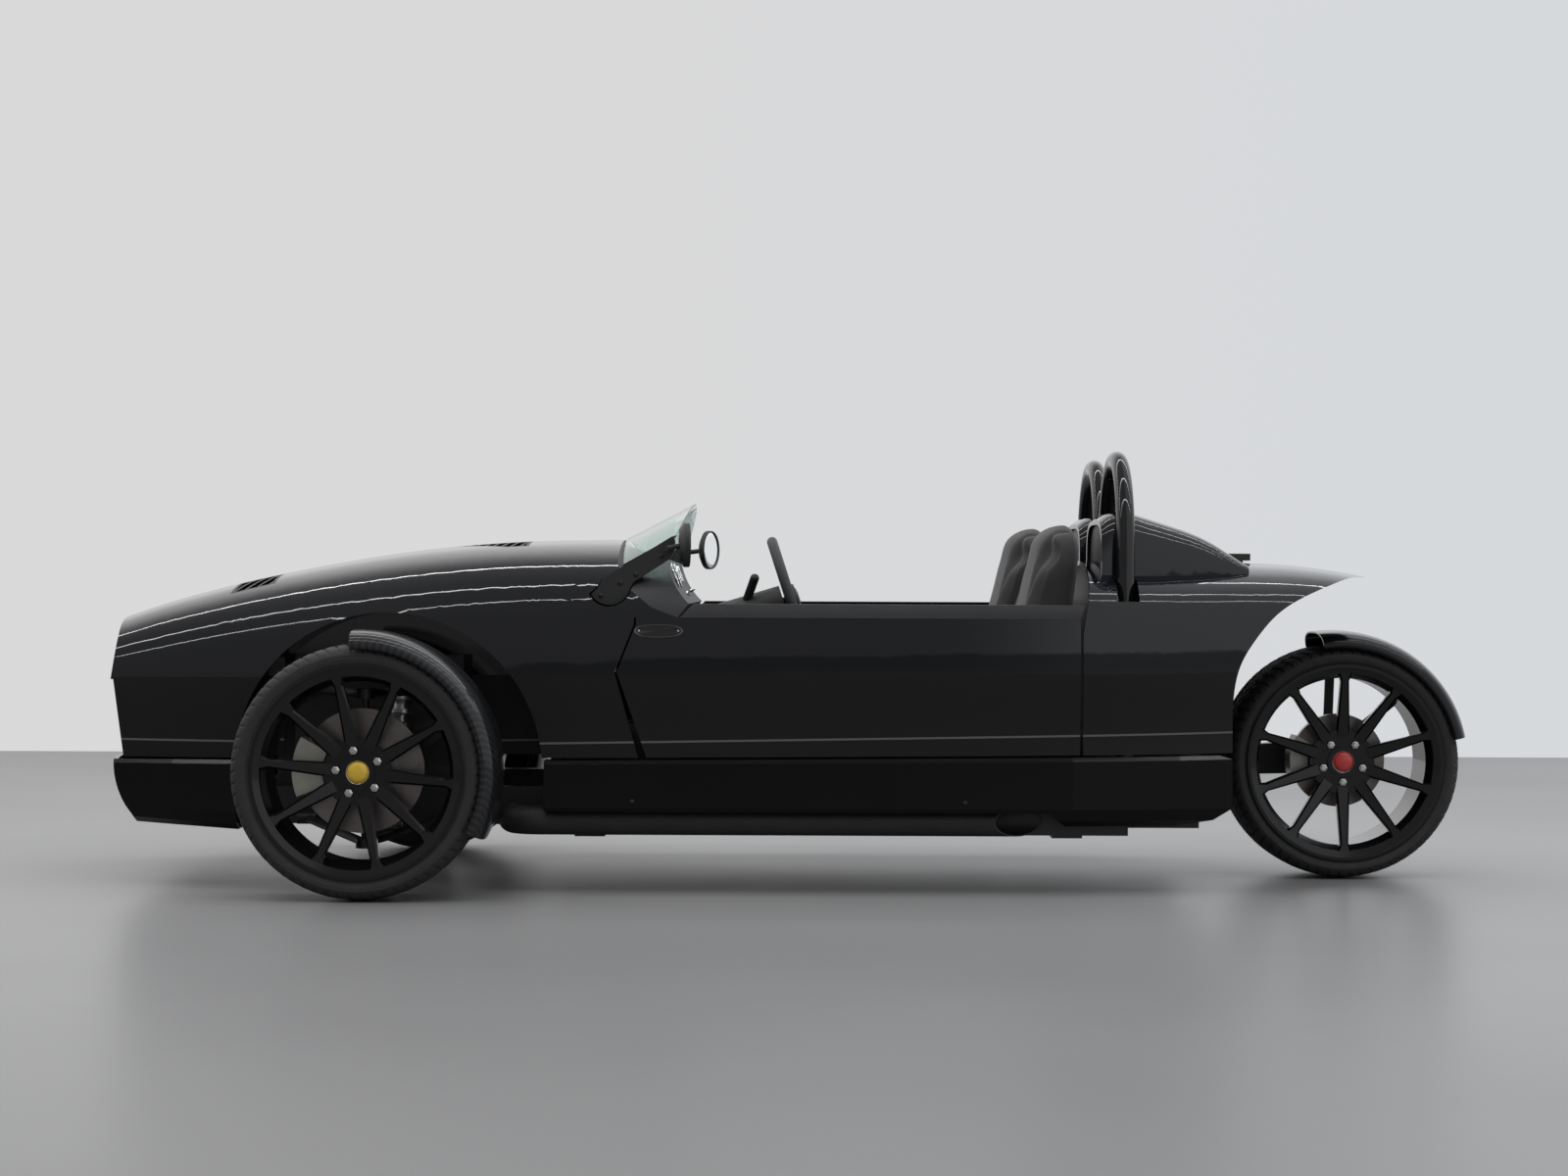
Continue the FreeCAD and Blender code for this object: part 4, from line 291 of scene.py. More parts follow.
def turned(profile, sides, middle, shape=np.ones_like):
    """A profile of (radius, height) turned about an axis along Y through the middle.
    shape(angle) scales the radius, as for a hexagon."""
    angle = np.linspace(0, 2 * np.pi, sides, endpoint=False)
    radius = profile[:, 0][:, None] * shape(angle)[None, :]
    height = np.repeat(profile[:, 1][:, None], sides, 1)
    x, y, z = middle
    return np.stack([x + radius * np.cos(angle), y + height, z + radius * np.sin(angle)], 2)


def hexagon(angle):
    """The distance to a hexagon's side over that to its corner, at an angle, with its corners eased."""
    turn = np.mod(angle, np.pi / 3) - np.pi / 6
    return np.minimum(np.cos(np.pi / 6) / np.cos(turn), 0.985)


nut_steel, tree, shader = finish("nut_steel", (0.62, 0.61, 0.60), 0.24, 1.0)
uneven(tree, shader, 300, 0.00005)


def cap_finish(name, colour, shade):
    """Coloured enamel under clear resin, its tone a little deeper in places, by noise."""
    material, tree, shader = finish(name, colour, 0.22)
    mottled(tree, shader, shade, colour, 60)
    shader.inputs["Coat Weight"].default_value = 0.6
    shader.inputs["Coat Roughness"].default_value = 0.05
    return material


cap_yellow = cap_finish("cap_yellow", (0.75, 0.50, 0.035), (0.62, 0.40, 0.03))
cap_red = cap_finish("cap_red", (0.62, 0.035, 0.03), (0.50, 0.025, 0.02))

nut_profile = np.array([(0.0, 0.0235), (0.0062, 0.0235), (0.0075, 0.0225), (0.0080, 0.0205), (0.0108, 0.0195),
                        (0.0112, 0.0180), (0.0112, 0.0030), (0.0118, 0.0022), (0.0118, 0.0), (0.0, 0.0)])
cap_profile = np.array([(0.0, 0.0090), (0.010, 0.0088), (0.018, 0.0080), (0.0235, 0.0066), (0.0262, 0.0048),
                        (0.0266, 0.0028), (0.0282, 0.0026), (0.0298, 0.0012), (0.0302, -0.001),
                        (0.0302, -0.004), (0.0, -0.004)])
cap_ring_profile = np.array([(0.0284, 0.0018), (0.0290, 0.0034), (0.0300, 0.0038), (0.0307, 0.0030),
                             (0.0307, -0.002), (0.0284, -0.002)])
stud_circle_radius, nut_seat_depth, cap_stand = 0.05715, 0.0155, 0.0025
nut_sides, cap_sides = 36, 64


def joined(pieces, name):
    """Several meshes made one piece, under one name."""
    with bpy.context.temp_override(active_object=pieces[0], selected_editable_objects=pieces):
        bpy.ops.object.join()
    pieces[0].name = name
    return pieces[0]


def wheel_trim(name, body, axle, face_out, side, first_nut_deg, cap_material, cap_share):
    """Five nuts on the stud circle, the cap and its ring, on a wheel's outer face, which stands face_out from
    the middle of the car. side is -1 where it looks left, and cap_share scales the cap's radius."""
    x, z = axle
    face_y = side * face_out
    nuts = []
    for k in range(5):
        turn = math.radians(first_nut_deg + 72 * k)
        middle = (x + stud_circle_radius * math.cos(turn), 0, z + stud_circle_radius * math.sin(turn))
        grid = turned(nut_profile * (1, side), nut_sides, middle, shape=hexagon)
        grid[..., 1] += face_y - side * nut_seat_depth
        nuts.append(surface(f"{name}_nut_{k}", grid, nut_steel, round_closed=True, sharp_deg=30))
    whole = joined(nuts, f"{name}_nuts")
    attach(whole, body)
    grid = turned(cap_profile * (cap_share, side), cap_sides, (x, 0, z))
    grid[..., 1] += face_y + side * cap_stand
    cap = surface(f"{name}_cap", grid, cap_material, round_closed=True, sharp_deg=50)
    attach(cap, body)
    grid = turned(cap_ring_profile * (1, side), cap_sides, (x, 0, z))
    grid[..., 1] += face_y + side * cap_stand
    ring = surface(f"{name}_cap_ring", grid, nut_steel, round_closed=True, along_closed=True, sharp_deg=50)
    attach(ring, body)


front_wheel_y, front_half_width, rear_half_width, face_inset = 0.757, 0.1125, 0.1425, 0.043
front_face = front_wheel_y + front_half_width - face_inset
rear_face = rear_half_width - face_inset
wheel_trim("front_left", "front_wheel_left", front_axle, front_face, -1, 30, cap_yellow, 0.93)
wheel_trim("front_right", "front_wheel_right", front_axle, front_face, 1, 30, cap_yellow, 0.93)
wheel_trim("rear", "rear_wheel", rear_axle, rear_face, -1, 54, cap_red, 0.92)

# Tyres: black rubber, low in section, with four grooves round the tread, slanted cuts across its blocks,
# a rounded shoulder and fine raised rings on the sidewall.
rubber, tree, shader = finish("tyre_rubber", (0.022, 0.022, 0.023), 0.72)
uneven(tree, shader, 900, 0.00012)
mottled(tree, shader, (0.017, 0.017, 0.018), (0.032, 0.031, 0.031), 35)

bead_radius, tread_blocks, points_per_block = 0.254, 66, 8
tread_share, tread_drop = 0.76, 0.006
groove_shares = np.array([-0.62, -0.21, 0.21, 0.62])
groove_half, groove_reach, groove_lip, groove_depth = 0.004, 0.0045, 0.0055, 0.0070
cut_share, cut_depth, cut_start, outer_block = 0.17, 0.0042, 0.24, 0.62
inner_slant, outer_slant = 11.0, 5.0
shoulder_round, shoulder_turn = 0.030, 1.35
wall_pull, ring_height, ring_count = 0.055, 0.0007, 5


def tyre_grid(x, y, z, radius, half_width, bead, blocks):
    """A tyre: its section is a rounded box from bead to bead. The tread's radius drops in grooves round the
    wheel and in cuts across it, which slant with the distance from the middle and repeat `blocks` times."""
    crown = half_width * tread_share
    groove_at = groove_shares * crown
    edges = (groove_at[:, None] + np.array([-groove_lip, -groove_half, groove_half, groove_lip])).ravel()
    rest = np.linspace(-crown, crown, 21)
    rest = rest[np.abs(edges[None, :] - rest[:, None]).min(1) > 0.003]
    across = np.sort(np.concatenate([rest, edges]))
    drop = tread_drop * (across / crown) ** 4
    in_groove = np.abs(across[:, None] - groove_at[None, :]).min(1) < groove_reach
    tread = np.stack([radius - drop, across], 1)
    turn = shoulder_turn * np.linspace(0, 1, 12)[1:]
    corner = np.stack([radius - tread_drop - shoulder_round * (1 - np.cos(turn)),
                       crown + (half_width - crown) * np.sin(turn) / math.sin(shoulder_turn)], 1)
    wall_top, wall_foot = corner[-1][0], bead + 0.020
    wall_r = np.linspace(wall_top, wall_foot, 14)[1:]
    down = (wall_top - wall_r) / (wall_top - wall_foot)
    rings = ring_height * (np.cos(down * 2 * np.pi * ring_count) > 0.55)
    wall = np.stack([wall_r, half_width * (1 - wall_pull * down ** 2) + rings - ring_height], 1)
    foot = np.array([(bead + 0.012, half_width * 0.925), (bead + 0.004, half_width * 0.90),
                     (bead + 0.004, half_width * 0.80), (bead + 0.02, half_width * 0.76)])
    side = np.concatenate([corner, wall, foot])
    section = np.concatenate([side[::-1] * (1, -1), tread, side])
    sides = blocks * points_per_block
    angle = np.linspace(0, 2 * np.pi, sides, endpoint=False)
    start = len(side)
    height = np.repeat(section[:, 0][:, None], sides, 1)
    width = section[:, 1]
    on_tread = np.zeros(len(section), bool)
    on_tread[start:start + len(tread)] = True
    ring = np.zeros(len(section), bool)
    ring[start:start + len(tread)] = in_groove
    slant = np.where(np.abs(width) > outer_block * crown, outer_slant, inner_slant) * np.abs(width) / half_width
    phase = np.mod(angle[None, :] * blocks / (2 * np.pi) + slant[:, None] * 0.25
                   + (width > 0)[:, None] * 0.5, 1.0)
    cut = (phase < cut_share) & (np.abs(width) > cut_start * crown)[:, None] & (height > radius - 0.02)
    height = height - np.where(ring[:, None], groove_depth, np.where(cut, cut_depth, 0.0))
    return np.stack([x + height * np.cos(angle), y + np.repeat(width[:, None], sides, 1),
                     z + height * np.sin(angle)], 2)


# A tyre stands on the floor, so its radius is its axle's height. The mesh stays a hair inside the solid tyre.
shy_radius, shy_width = 0.0002, 0.0003
for name, body, y, half_width, (x, z) in [
    ("front_tyre_left", "front_wheel_left", -front_wheel_y, front_half_width, front_axle),
    ("front_tyre_right", "front_wheel_right", front_wheel_y, front_half_width, front_axle),
    ("rear_tyre", "rear_wheel", 0.0, rear_half_width, rear_axle),
]:
    grid = tyre_grid(x, y, z, z - shy_radius, half_width - shy_width, bead_radius, tread_blocks)
    tyre = surface(name + "_tread", grid, rubber, round_closed=True, sharp_deg=38)
    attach(tyre, body)
    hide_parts(name)

# Body panels: moulded shells, painted in two tones. Above a level line the black is glossy and lacquered,
# below it is satin, with a thin grey stripe. Both lines rise a little from nose to tail.
tone_rise, tone_z, tone_soft = 0.0092, 0.5725, 0.0004
stripe_rise, stripe_z, stripe_low_z, stripe_half = 0.0182, 0.4045, 0.390, 0.0026
two_tone, tree, shader = finish("two_tone_paint", (0.004, 0.004, 0.005), 0.05)
part = add(tree, "SeparateXYZ", {"Vector": place_in(tree)})
tone_line = sums(tree, "MULTIPLY_ADD", part.outputs["X"], tone_rise, tone_z)
above = sums(tree, "SUBTRACT", part.outputs["Z"], tone_line)
gloss = add(tree, "MapRange", {"Value": above, "From Min": -tone_soft, "From Max": tone_soft}).outputs[0]
stripe_line = sums(tree, "MULTIPLY_ADD", part.outputs["X"], stripe_rise, stripe_z)
stripe_line = sums(tree, "MAXIMUM", stripe_line, stripe_low_z)
from_stripe = sums(tree, "ABSOLUTE", sums(tree, "SUBTRACT", part.outputs["Z"], stripe_line))
stripe = sums(tree, "LESS_THAN", from_stripe, stripe_half)
dust = noise(tree, 3.0, 6.0)
satin_rough = add(tree, "MapRange", {"Value": dust, "To Min": 0.40, "To Max": 0.50}).outputs[0]
gloss_rough = add(tree, "MapRange", {"Value": dust, "To Min": 0.02, "To Max": 0.07}).outputs[0]
tree.links.new(mixed_level(tree, gloss, satin_rough, gloss_rough), shader.inputs["Roughness"])
tree.links.new(mixed_level(tree, gloss, 0.22, 0.5), shader.inputs["Specular IOR Level"])
black = mixed(tree, gloss, (0.0085, 0.0085, 0.009), (0.0045, 0.005, 0.007))
tree.links.new(mixed(tree, stripe, black, (0.11, 0.11, 0.115)), shader.inputs["Base Color"])
raised(tree, shader, noise(tree, 90.0), 0.000001)
give(two_tone, "front_body", "rear_body", "door_left", "door_right")

# Roll hoops: bent steel tube, painted gloss black. Rear mudguard, front valance and sills: moulded pieces
# in black paint that is a little duller, where road dirt scours them.
gloss_paint, tree, shader = finish("gloss_black_paint", (0.0035, 0.0035, 0.004), 0.05)
uneven(tree, shader, 90, 0.000004)
mottled(tree, shader, (0.003, 0.003, 0.0035), (0.006, 0.006, 0.0065), 5)
give(gloss_paint, "roll_hoops")
guard_paint, tree, shader = finish("guard_black_paint", (0.004, 0.0042, 0.0052), 0.14)
uneven(tree, shader, 90, 0.000002)
mottled(tree, shader, (0.003, 0.0032, 0.004), (0.006, 0.0062, 0.0075), 5)
shader.inputs["Specular IOR Level"].default_value = 0.30
give(guard_paint, "rear_mudguard")
skirt_paint, tree, shader = finish("skirt_black_paint", (0.0030, 0.0028, 0.0032), 0.16)
uneven(tree, shader, 90, 0.000004)
mottled(tree, shader, (0.0022, 0.002, 0.0024), (0.0038, 0.0036, 0.004), 5)
shader.inputs["Specular IOR Level"].default_value = 0.2
give(skirt_paint, "front_valance", "side_sills")

# Side pipes: rolled steel tube, one along each side of the car under the sill.
# They are sprayed with matt black heat paint that stays a little chalky.
heat_paint, tree, shader = finish("heat_paint", (0.016, 0.016, 0.016), 0.55)
uneven(tree, shader, 600, 0.00025)
mottled(tree, shader, (0.012, 0.012, 0.012), (0.026, 0.025, 0.024), 20)
give(heat_paint, "exhaust_pipes")

# Front mudguards: a shell of carbon cloth in clear resin, carried by the knuckle.
# The cloth is a two by two twill: a thread passes over where its own number and the crossing one's, added,
# leave 0 or 1 when divided by 4.
thread, guard_radius = 0.005, 0.36
carbon, tree, shader = finish("carbon_cloth", (0.01, 0.01, 0.011), 0.22)
_, angle, out = about_axle(tree, *front_axle)
warp = sums(tree, "FLOOR", sums(tree, "MULTIPLY", angle, guard_radius / thread))
weft = sums(tree, "FLOOR", sums(tree, "MULTIPLY", out, 1 / thread))
over = sums(tree, "LESS_THAN", sums(tree, "FLOORED_MODULO", sums(tree, "ADD", warp, weft), 4.0), 2.0)
tree.links.new(mixed(tree, over, (0.004, 0.004, 0.005), (0.015, 0.016, 0.018)), shader.inputs["Base Color"])
tree.links.new(mixed_level(tree, over, 0.42, 0.30), shader.inputs["Roughness"])
shader.inputs["Coat Weight"].default_value = 0.7
shader.inputs["Coat Roughness"].default_value = 0.10
shader.inputs["Specular IOR Level"].default_value = 0.15
give(carbon, "front_mudguard_left", "front_mudguard_right")

# Grille, column shroud and hood vents: black plastic with a fine grain from the mould.
# Grille and vents are set into openings of the front body, and the shroud closes round the column.
moulded, tree, shader = finish("moulded_black", (0.014, 0.014, 0.015), 0.48)
uneven(tree, shader, 1300, 0.00015)
mottled(tree, shader, (0.011, 0.011, 0.012), (0.022, 0.022, 0.023), 12)
give(moulded, "grille", "steering_column", "hood_vents")

# Windscreen: a low pane of faintly green glass, between two matt black side bars.
# The door mirrors stand on the bars, each a round black bowl with a glass in its rear face.
bar_black, tree, shader = finish("matt_bar_black", (0.013, 0.013, 0.014), 0.50)
uneven(tree, shader, 500, 0.0002)
mottled(tree, shader, (0.010, 0.010, 0.011), (0.020, 0.020, 0.021), 18)
give(bar_black, "windscreen_frame", "door_mirrors")

pane, tree, shader = finish("screen_glass", (0.74, 0.90, 0.85), 0.0)
shader.inputs["Transmission Weight"].default_value = 1.0
shader.inputs["IOR"].default_value = 1.18
cloudy_gloss(tree, shader, 6.0, 0.0, 0.03)
give(pane, "windscreen_glass")

# Lamps: round headlamps in the nose, and red moulded lenses on the tail. A headlamp has a black bezel,
# a silvered bowl, and a dark round lens in a bright ring in its middle. The bowl's silvering is a painted
# reflection: a grey that brightens outwards. The distance from the lamp's axis, the root of the squares of
# y and z seen from it, tells them apart.
lamp_y, lamp_z = 0.340, 0.474
lens_radius, ring_radius, bowl_start, bowl_radius = 0.0165, 0.0195, 0.019, 0.040
lamp_glass, tree, shader = finish("lamp_lens", (0.30, 0.31, 0.33), 0.06)
part = add(tree, "SeparateXYZ", {"Vector": place_in(tree)})
aside = sums(tree, "SUBTRACT", sums(tree, "ABSOLUTE", part.outputs["Y"]), lamp_y)
above = sums(tree, "SUBTRACT", part.outputs["Z"], lamp_z)
away = sums(tree, "SQRT", sums(tree, "ADD", *[sums(tree, "MULTIPLY", way, way) for way in (aside, above)]))
# Painted reflection: the silvered bowl is a grey that brightens from 0.10 by the ring to 0.42 at its edge.
bowl = add(tree, "MapRange", {"Value": away, "From Min": bowl_start, "From Max": bowl_radius,
                              "To Min": 0.10, "To Max": 0.42}).outputs[0]
tone = add(tree, "CombineColor", {0: bowl, 1: bowl, 2: bowl}).outputs[0]
for low, high, colour in [(bowl_radius, 1.0, (0.012, 0.012, 0.013)),
                          (lens_radius, ring_radius, (0.60, 0.61, 0.63)),
                          (-1.0, lens_radius, (0.022, 0.025, 0.032))]:
    tone = mixed(tree, sums(tree, "COMPARE", away, (low + high) / 2, (high - low) / 2), tone, colour)
tree.links.new(tone, shader.inputs["Base Color"])
give(lamp_glass, "headlamps")


def fluted_lens(name, colour, roughness):
    """A moulded lens with low ribs side by side: the bands of a wave across the car, as bump."""
    material, tree, shader = finish(name, colour, roughness)
    flute = add(tree, "TexWave", {"Vector": place_in(tree), "Scale": 80.0}, bands_direction="Y")
    raised(tree, shader, flute.outputs["Fac"], 0.0004)
    return material


give(fluted_lens("red_lens", (0.10, 0.004, 0.004), 0.12), "tail_lamps")
give(fluted_lens("smoked_lens", (0.012, 0.008, 0.009), 0.10), "stop_lamp")

# Dash, door caps and steering wheel: covered in dark grey leather with a pebbled grain.
# The leather is stretched over padded cores and glued down where no edge shows.


def leather(name, dark, light, pebble):
    """Leather: cells of a Voronoi pattern as low pebbles with creases between them, of uneven tone."""
    material, tree, shader = finish(name, light, 0.55)
    cell = add(tree, "TexVoronoi", {"Vector": place_in(tree), "Scale": pebble}, feature="F1")
    raised(tree, shader, cell.outputs["Distance"], -0.0004, 0.8)
    mottled(tree, shader, dark, light, 11)
    return material


hide = leather("grey_leather", (0.016, 0.0165, 0.018), (0.026, 0.0265, 0.028), 420)
give(hide, "dash_panel", "door_trim_left", "door_trim_right", "steering_wheel")

# Mirror glasses: silvered discs set in the rear face of each bowl, held by a thin rolled rim.
# Both look back and in towards the driver, the left one by 6 degrees and the right one by 23.


def facing(grid, origin, axis, level=(0.0, 1.0, 0.0)):
    """A grid turned about the Y axis, moved so that this axis starts at origin and points along axis."""
    axis = np.array(axis) / np.linalg.norm(axis)
    across = np.array(level) - np.dot(level, axis) * axis
    across /= np.linalg.norm(across)
    along = np.cross(across, axis)
    return np.array(origin) + grid[..., 0:1] * across + grid[..., 1:2] * axis + grid[..., 2:3] * along


silvered, tree, shader = finish("silvered_glass", (0.90, 0.91, 0.91), 0.02, 1.0)
cloudy_gloss(tree, shader, 30.0, 0.01, 0.05)
glass_profile = np.array([(0.0, 0.0022), (0.020, 0.0020), (0.040, 0.0014), (0.0525, 0.0006), (0.0530, 0.0002),
                          (0.0530, -0.0006), (0.0, -0.0006)])
ring_profile = np.array([(0.0530, 0.0004), (0.0538, 0.0026), (0.0556, 0.0034), (0.0572, 0.0026),
                         (0.0579, 0.0004), (0.0579, -0.0012), (0.0530, -0.0012)])
mirror_y, mirror_z, mirror_face_out = 0.612, 0.911, 0.0116
mirror_sides, upright = 72, (0.0, 0.0, 1.0)
for name, x, side, turn_deg in [("left_mirror", -0.289, -1, 6.0), ("right_mirror", -0.258, 1, -23.0)]:
    turn = math.radians(turn_deg)
    out = np.array([math.cos(turn), math.sin(turn), 0.0])
    middle = np.array([x, side * mirror_y, mirror_z]) + out * mirror_face_out
    grid = facing(turned(glass_profile, mirror_sides, (0, 0, 0)), middle, out, upright)
    glass = surface(name + "_glass", grid, silvered, round_closed=True)
    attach(glass, "chassis")
    grid = facing(turned(ring_profile, mirror_sides, (0, 0, 0)), middle, out, upright)
    ring = surface(name + "_rim", grid, bar_black, round_closed=True, along_closed=True)
    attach(ring, "chassis")

# Instruments: round dials in chromed bezels on the leather face of the dash, with a row of toggles below.
# Each is pushed into a hole from the front and held by a nut behind.
# The face is an arc in the side view, so each dial leans with it.
chrome, tree, shader = finish("chrome_plate", (0.72, 0.72, 0.73), 0.08, 1.0)
uneven(tree, shader, 400, 0.00002)
dial_ink, tree, shader = finish("dial_face", (0.012, 0.012, 0.013), 0.30)
mottled(tree, shader, (0.010, 0.010, 0.011), (0.018, 0.018, 0.019), 60)
dial_mark, tree, shader = finish("dial_print", (0.62, 0.61, 0.57), 0.5)
mottled(tree, shader, (0.55, 0.54, 0.50), (0.66, 0.65, 0.61), 80)
dash_arc = np.array([(-0.331, 0.868), (-0.311, 0.805), (-0.2745, 0.758)])


def dash_face(z):
    """The dash's rear face at a height: the point on the circle through the arc's three points, and the way
    it faces. The circle's middle is as far from all three, which gives two equations for it."""
    near, mid, low = dash_arc
    sides = 2 * np.array([mid - near, low - near])
    middle = np.linalg.solve(sides, np.array([mid @ mid - near @ near, low @ low - near @ near]))
    radius = np.linalg.norm(near - middle)
    x = middle[0] - math.sqrt(radius ** 2 - (z - middle[1]) ** 2)
    out = np.array([middle[0] - x, 0.0, middle[1] - z]) / radius
    return np.array([x, 0.0, z]), out


bezel_profile = np.array([(0.86, -0.003), (0.86, 0.0015), (0.90, 0.0050), (0.96, 0.0062), (1.0, 0.0045),
                          (1.0, -0.003)])
dial_profile = np.array([(0.0, 0.0012), (0.875, 0.0012), (0.875, -0.003), (0.0, -0.003)])
dial_sides, mark_high = 56, 0.0008
tick_count, first_tick_deg, tick_step_deg = 11, 225, 27


def dial(name, y, z, radius, needle_deg):
    """A dial: its face and bezel are turned about the way the dash faces. Its needle and its ticks, which
    spread over 270 degrees, are low blocks that narrow outwards."""
    at, out = dash_face(z)
    at[1] = y
    round_share = np.array([radius, 1.0])
    grid = facing(turned(bezel_profile * round_share, dial_sides, (0, 0, 0)), at, out)
    parts = [surface(name + "_bezel", grid, chrome, round_closed=True, along_closed=True)]
    grid = facing(turned(dial_profile * round_share, dial_sides, (0, 0, 0)), at, out)
    parts.append(surface(name + "_face", grid, dial_ink, round_closed=True))
    bars = [(math.radians(first_tick_deg - tick_step_deg * k), 0.66, 0.80, 0.016) for k in range(tick_count)]
    bars.append((math.radians(needle_deg), -0.16, 0.62, 0.022))
    for k, (turn, start, end, half) in enumerate(bars):
        long_way = np.array([math.cos(turn), 0.0, math.sin(turn)])
        wide_way = np.array([-math.sin(turn), 0.0, math.cos(turn)])
        corners = [long_way * start - wide_way * half, long_way * end - wide_way * half * 0.6,
                   long_way * end + wide_way * half * 0.6, long_way * start + wide_way * half]
        low = np.array(corners) * radius + np.array([0.0, mark_high, 0.0])
        block = np.stack([low, low + np.array([0.0, mark_high, 0.0])], 0)
        grid = facing(block, at, out)
        parts.append(surface(f"{name}_mark_{k}", grid, dial_mark, round_closed=True, ends=True))
    whole = joined(parts, name)
    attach(whole, "chassis")


for name, y, z, radius, needle_deg in [
    ("left_dial", -0.402, 0.832, 0.036, 200.0), ("right_dial", -0.198, 0.832, 0.036, 215.0),
    ("small_dial_left", -0.085, 0.835, 0.026, 150.0), ("small_dial_mid", 0.0, 0.835, 0.026, 120.0),
    ("small_dial_right", 0.085, 0.835, 0.026, 95.0),
]:
    dial(name, y, z, radius, needle_deg)

toggle_profile = np.array([(0.0, 0.021), (0.0016, 0.0208), (0.0026, 0.0195), (0.0024, 0.010),
                           (0.0018, 0.0055), (0.0052, 0.0050), (0.0056, 0.0030), (0.0076, 0.0026),
                           (0.0080, 0.0010), (0.0080, -0.002), (0.0, -0.002)])
first_toggle_y, toggle_pitch, toggle_count, toggle_z = -0.105, 0.035, 7, 0.783
toggles = []
for k in range(toggle_count):
    at, out = dash_face(toggle_z)
    at[1] = first_toggle_y + toggle_pitch * k
    grid = facing(turned(toggle_profile, 24, (0, 0, 0)), at, out)
    toggles.append(surface(f"toggle_{k}", grid, chrome, round_closed=True))
row = joined(toggles, "toggle_switches")
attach(row, "chassis")

# Horn boss: a domed cap with a milled ring, moulded black, in the middle of the steering wheel.
# It is pressed into the wheel's hub and turns with the wheel.
wheel_centre, boss_stand = np.array([-0.009, -0.30, 0.768]), 0.0135
column_lean = math.radians(18.0)
column_way = np.array([math.cos(column_lean), 0.0, math.sin(column_lean)])
boss_profile = np.array([(0.0, 0.0115), (0.012, 0.0112), (0.022, 0.0096), (0.0295, 0.0066), (0.0305, 0.0042),
                         (0.0325, 0.0040), (0.0345, 0.0060), (0.0375, 0.0060), (0.0395, 0.0035),
                         (0.0395, -0.001), (0.0, -0.001)])
grid = facing(turned(boss_profile, 64, (0, 0, 0)), wheel_centre + column_way * boss_stand, column_way)
boss = surface("horn_boss", grid, moulded, round_closed=True)
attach(boss, "steering_wheel")

# Small fasteners: black button head screws with a hex socket, turned from steel and blackened.
# Four hold each windscreen bar to the body, and two each side sill.
screw_profile = np.array([(0.0, 0.0016), (0.0022, 0.0016), (0.0026, 0.0036), (0.0046, 0.0030),
                          (0.0062, 0.0014), (0.0066, 0.0), (0.0066, -0.001), (0.0, -0.001)])
black_steel, tree, shader = finish("black_screw_steel", (0.035, 0.034, 0.034), 0.32, 0.7)
uneven(tree, shader, 500, 0.00004)
bar_screw_y = 0.598
bar_screws = [(-0.506, 0.778), (-0.455, 0.811), (-0.415, 0.834), (-0.347, 0.881)]
sill_screws = [(0.446, 0.243), (-0.42, 0.243)]
clear_of_car = 1.2


def out_from(node, x, z, side):
    """How far out a node's skin stands at a place in the side view, by a ray that comes in from the side."""
    hit, place, _, _ = nodes[node].ray_cast((x, side * clear_of_car, z), (0.0, -side, 0.0))
    return side * place[1] if hit else 0.0


for name, places in (("windscreen_bar_screws", bar_screws), ("sill_screws", sill_screws)):
    heads = []
    for side in (-1, 1):
        for k, (x, z) in enumerate(places):
            y = out_from("side_sills", x, z, side) if name == "sill_screws" else bar_screw_y
            grid = turned(screw_profile * (1, side), 24, (x, side * y, z))
            heads.append(surface(f"{name}_{side}_{k}", grid, black_steel, round_closed=True))
    whole = joined(heads, name)
    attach(whole, "chassis")

# Oval plates at the front of both doors: pressed metal, painted black, with a raised bright rim, left bare.
# Each lies on the door's skin and is held by two small screws.
plate_black, tree, shader = finish("plate_black", (0.010, 0.010, 0.011), 0.38)
uneven(tree, shader, 500, 0.00005)
rim_metal, tree, shader = finish("plate_rim_metal", (0.16, 0.16, 0.165), 0.35, 0.8)
uneven(tree, shader, 500, 0.00004)
plate_rings = [(1.0, -0.0005), (1.0, 0.0012), (0.985, 0.0022), (0.93, 0.0022), (0.90, 0.0011), (0.0, 0.0011)]
rim_lift = 0.0004
plate_x, plate_z, half_long, half_tall = -0.353, 0.687, 0.064, 0.0165
plate_sides, screw_share = 72, 0.80
angle = np.linspace(0, 2 * np.pi, plate_sides, endpoint=False)
for side, door in ((-1, "door_left"), (1, "door_right")):
    grid = np.zeros((len(plate_rings), plate_sides, 3))
    for row, (share, lift) in enumerate(plate_rings):
        across = plate_x + np.sign(np.cos(angle)) * np.abs(np.cos(angle)) ** 0.72 * half_long * share
        up = plate_z + np.sign(np.sin(angle)) * np.abs(np.sin(angle)) ** 0.9 * half_tall * share
        skin = np.array([out_from(door, a, b, side) for a, b in zip(across, up)])
        grid[row] = np.stack([across, side * (skin + lift), up], 1)
    plate = surface(f"{door}_plate", grid, plate_black, round_closed=True)
    band = grid[1:5].copy()
    band[..., 1] += side * np.array([0.0, rim_lift, rim_lift, -rim_lift])[:, None]
    heads = [plate, surface(f"{door}_plate_rim", band, rim_metal, round_closed=True, along_closed=True)]
    for k, ahead in enumerate((-screw_share, screw_share)):
        x = plate_x + ahead * half_long
        middle = (x, side * (out_from(door, x, plate_z, side) + 0.0008), plate_z)
        grid = turned(screw_profile * (0.5, side * 0.5), 20, middle)
        heads.append(surface(f"{door}_plate_screw_{k}", grid, nut_steel, round_closed=True))
    plate = joined(heads, f"{door}_plate")
    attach(plate, door)

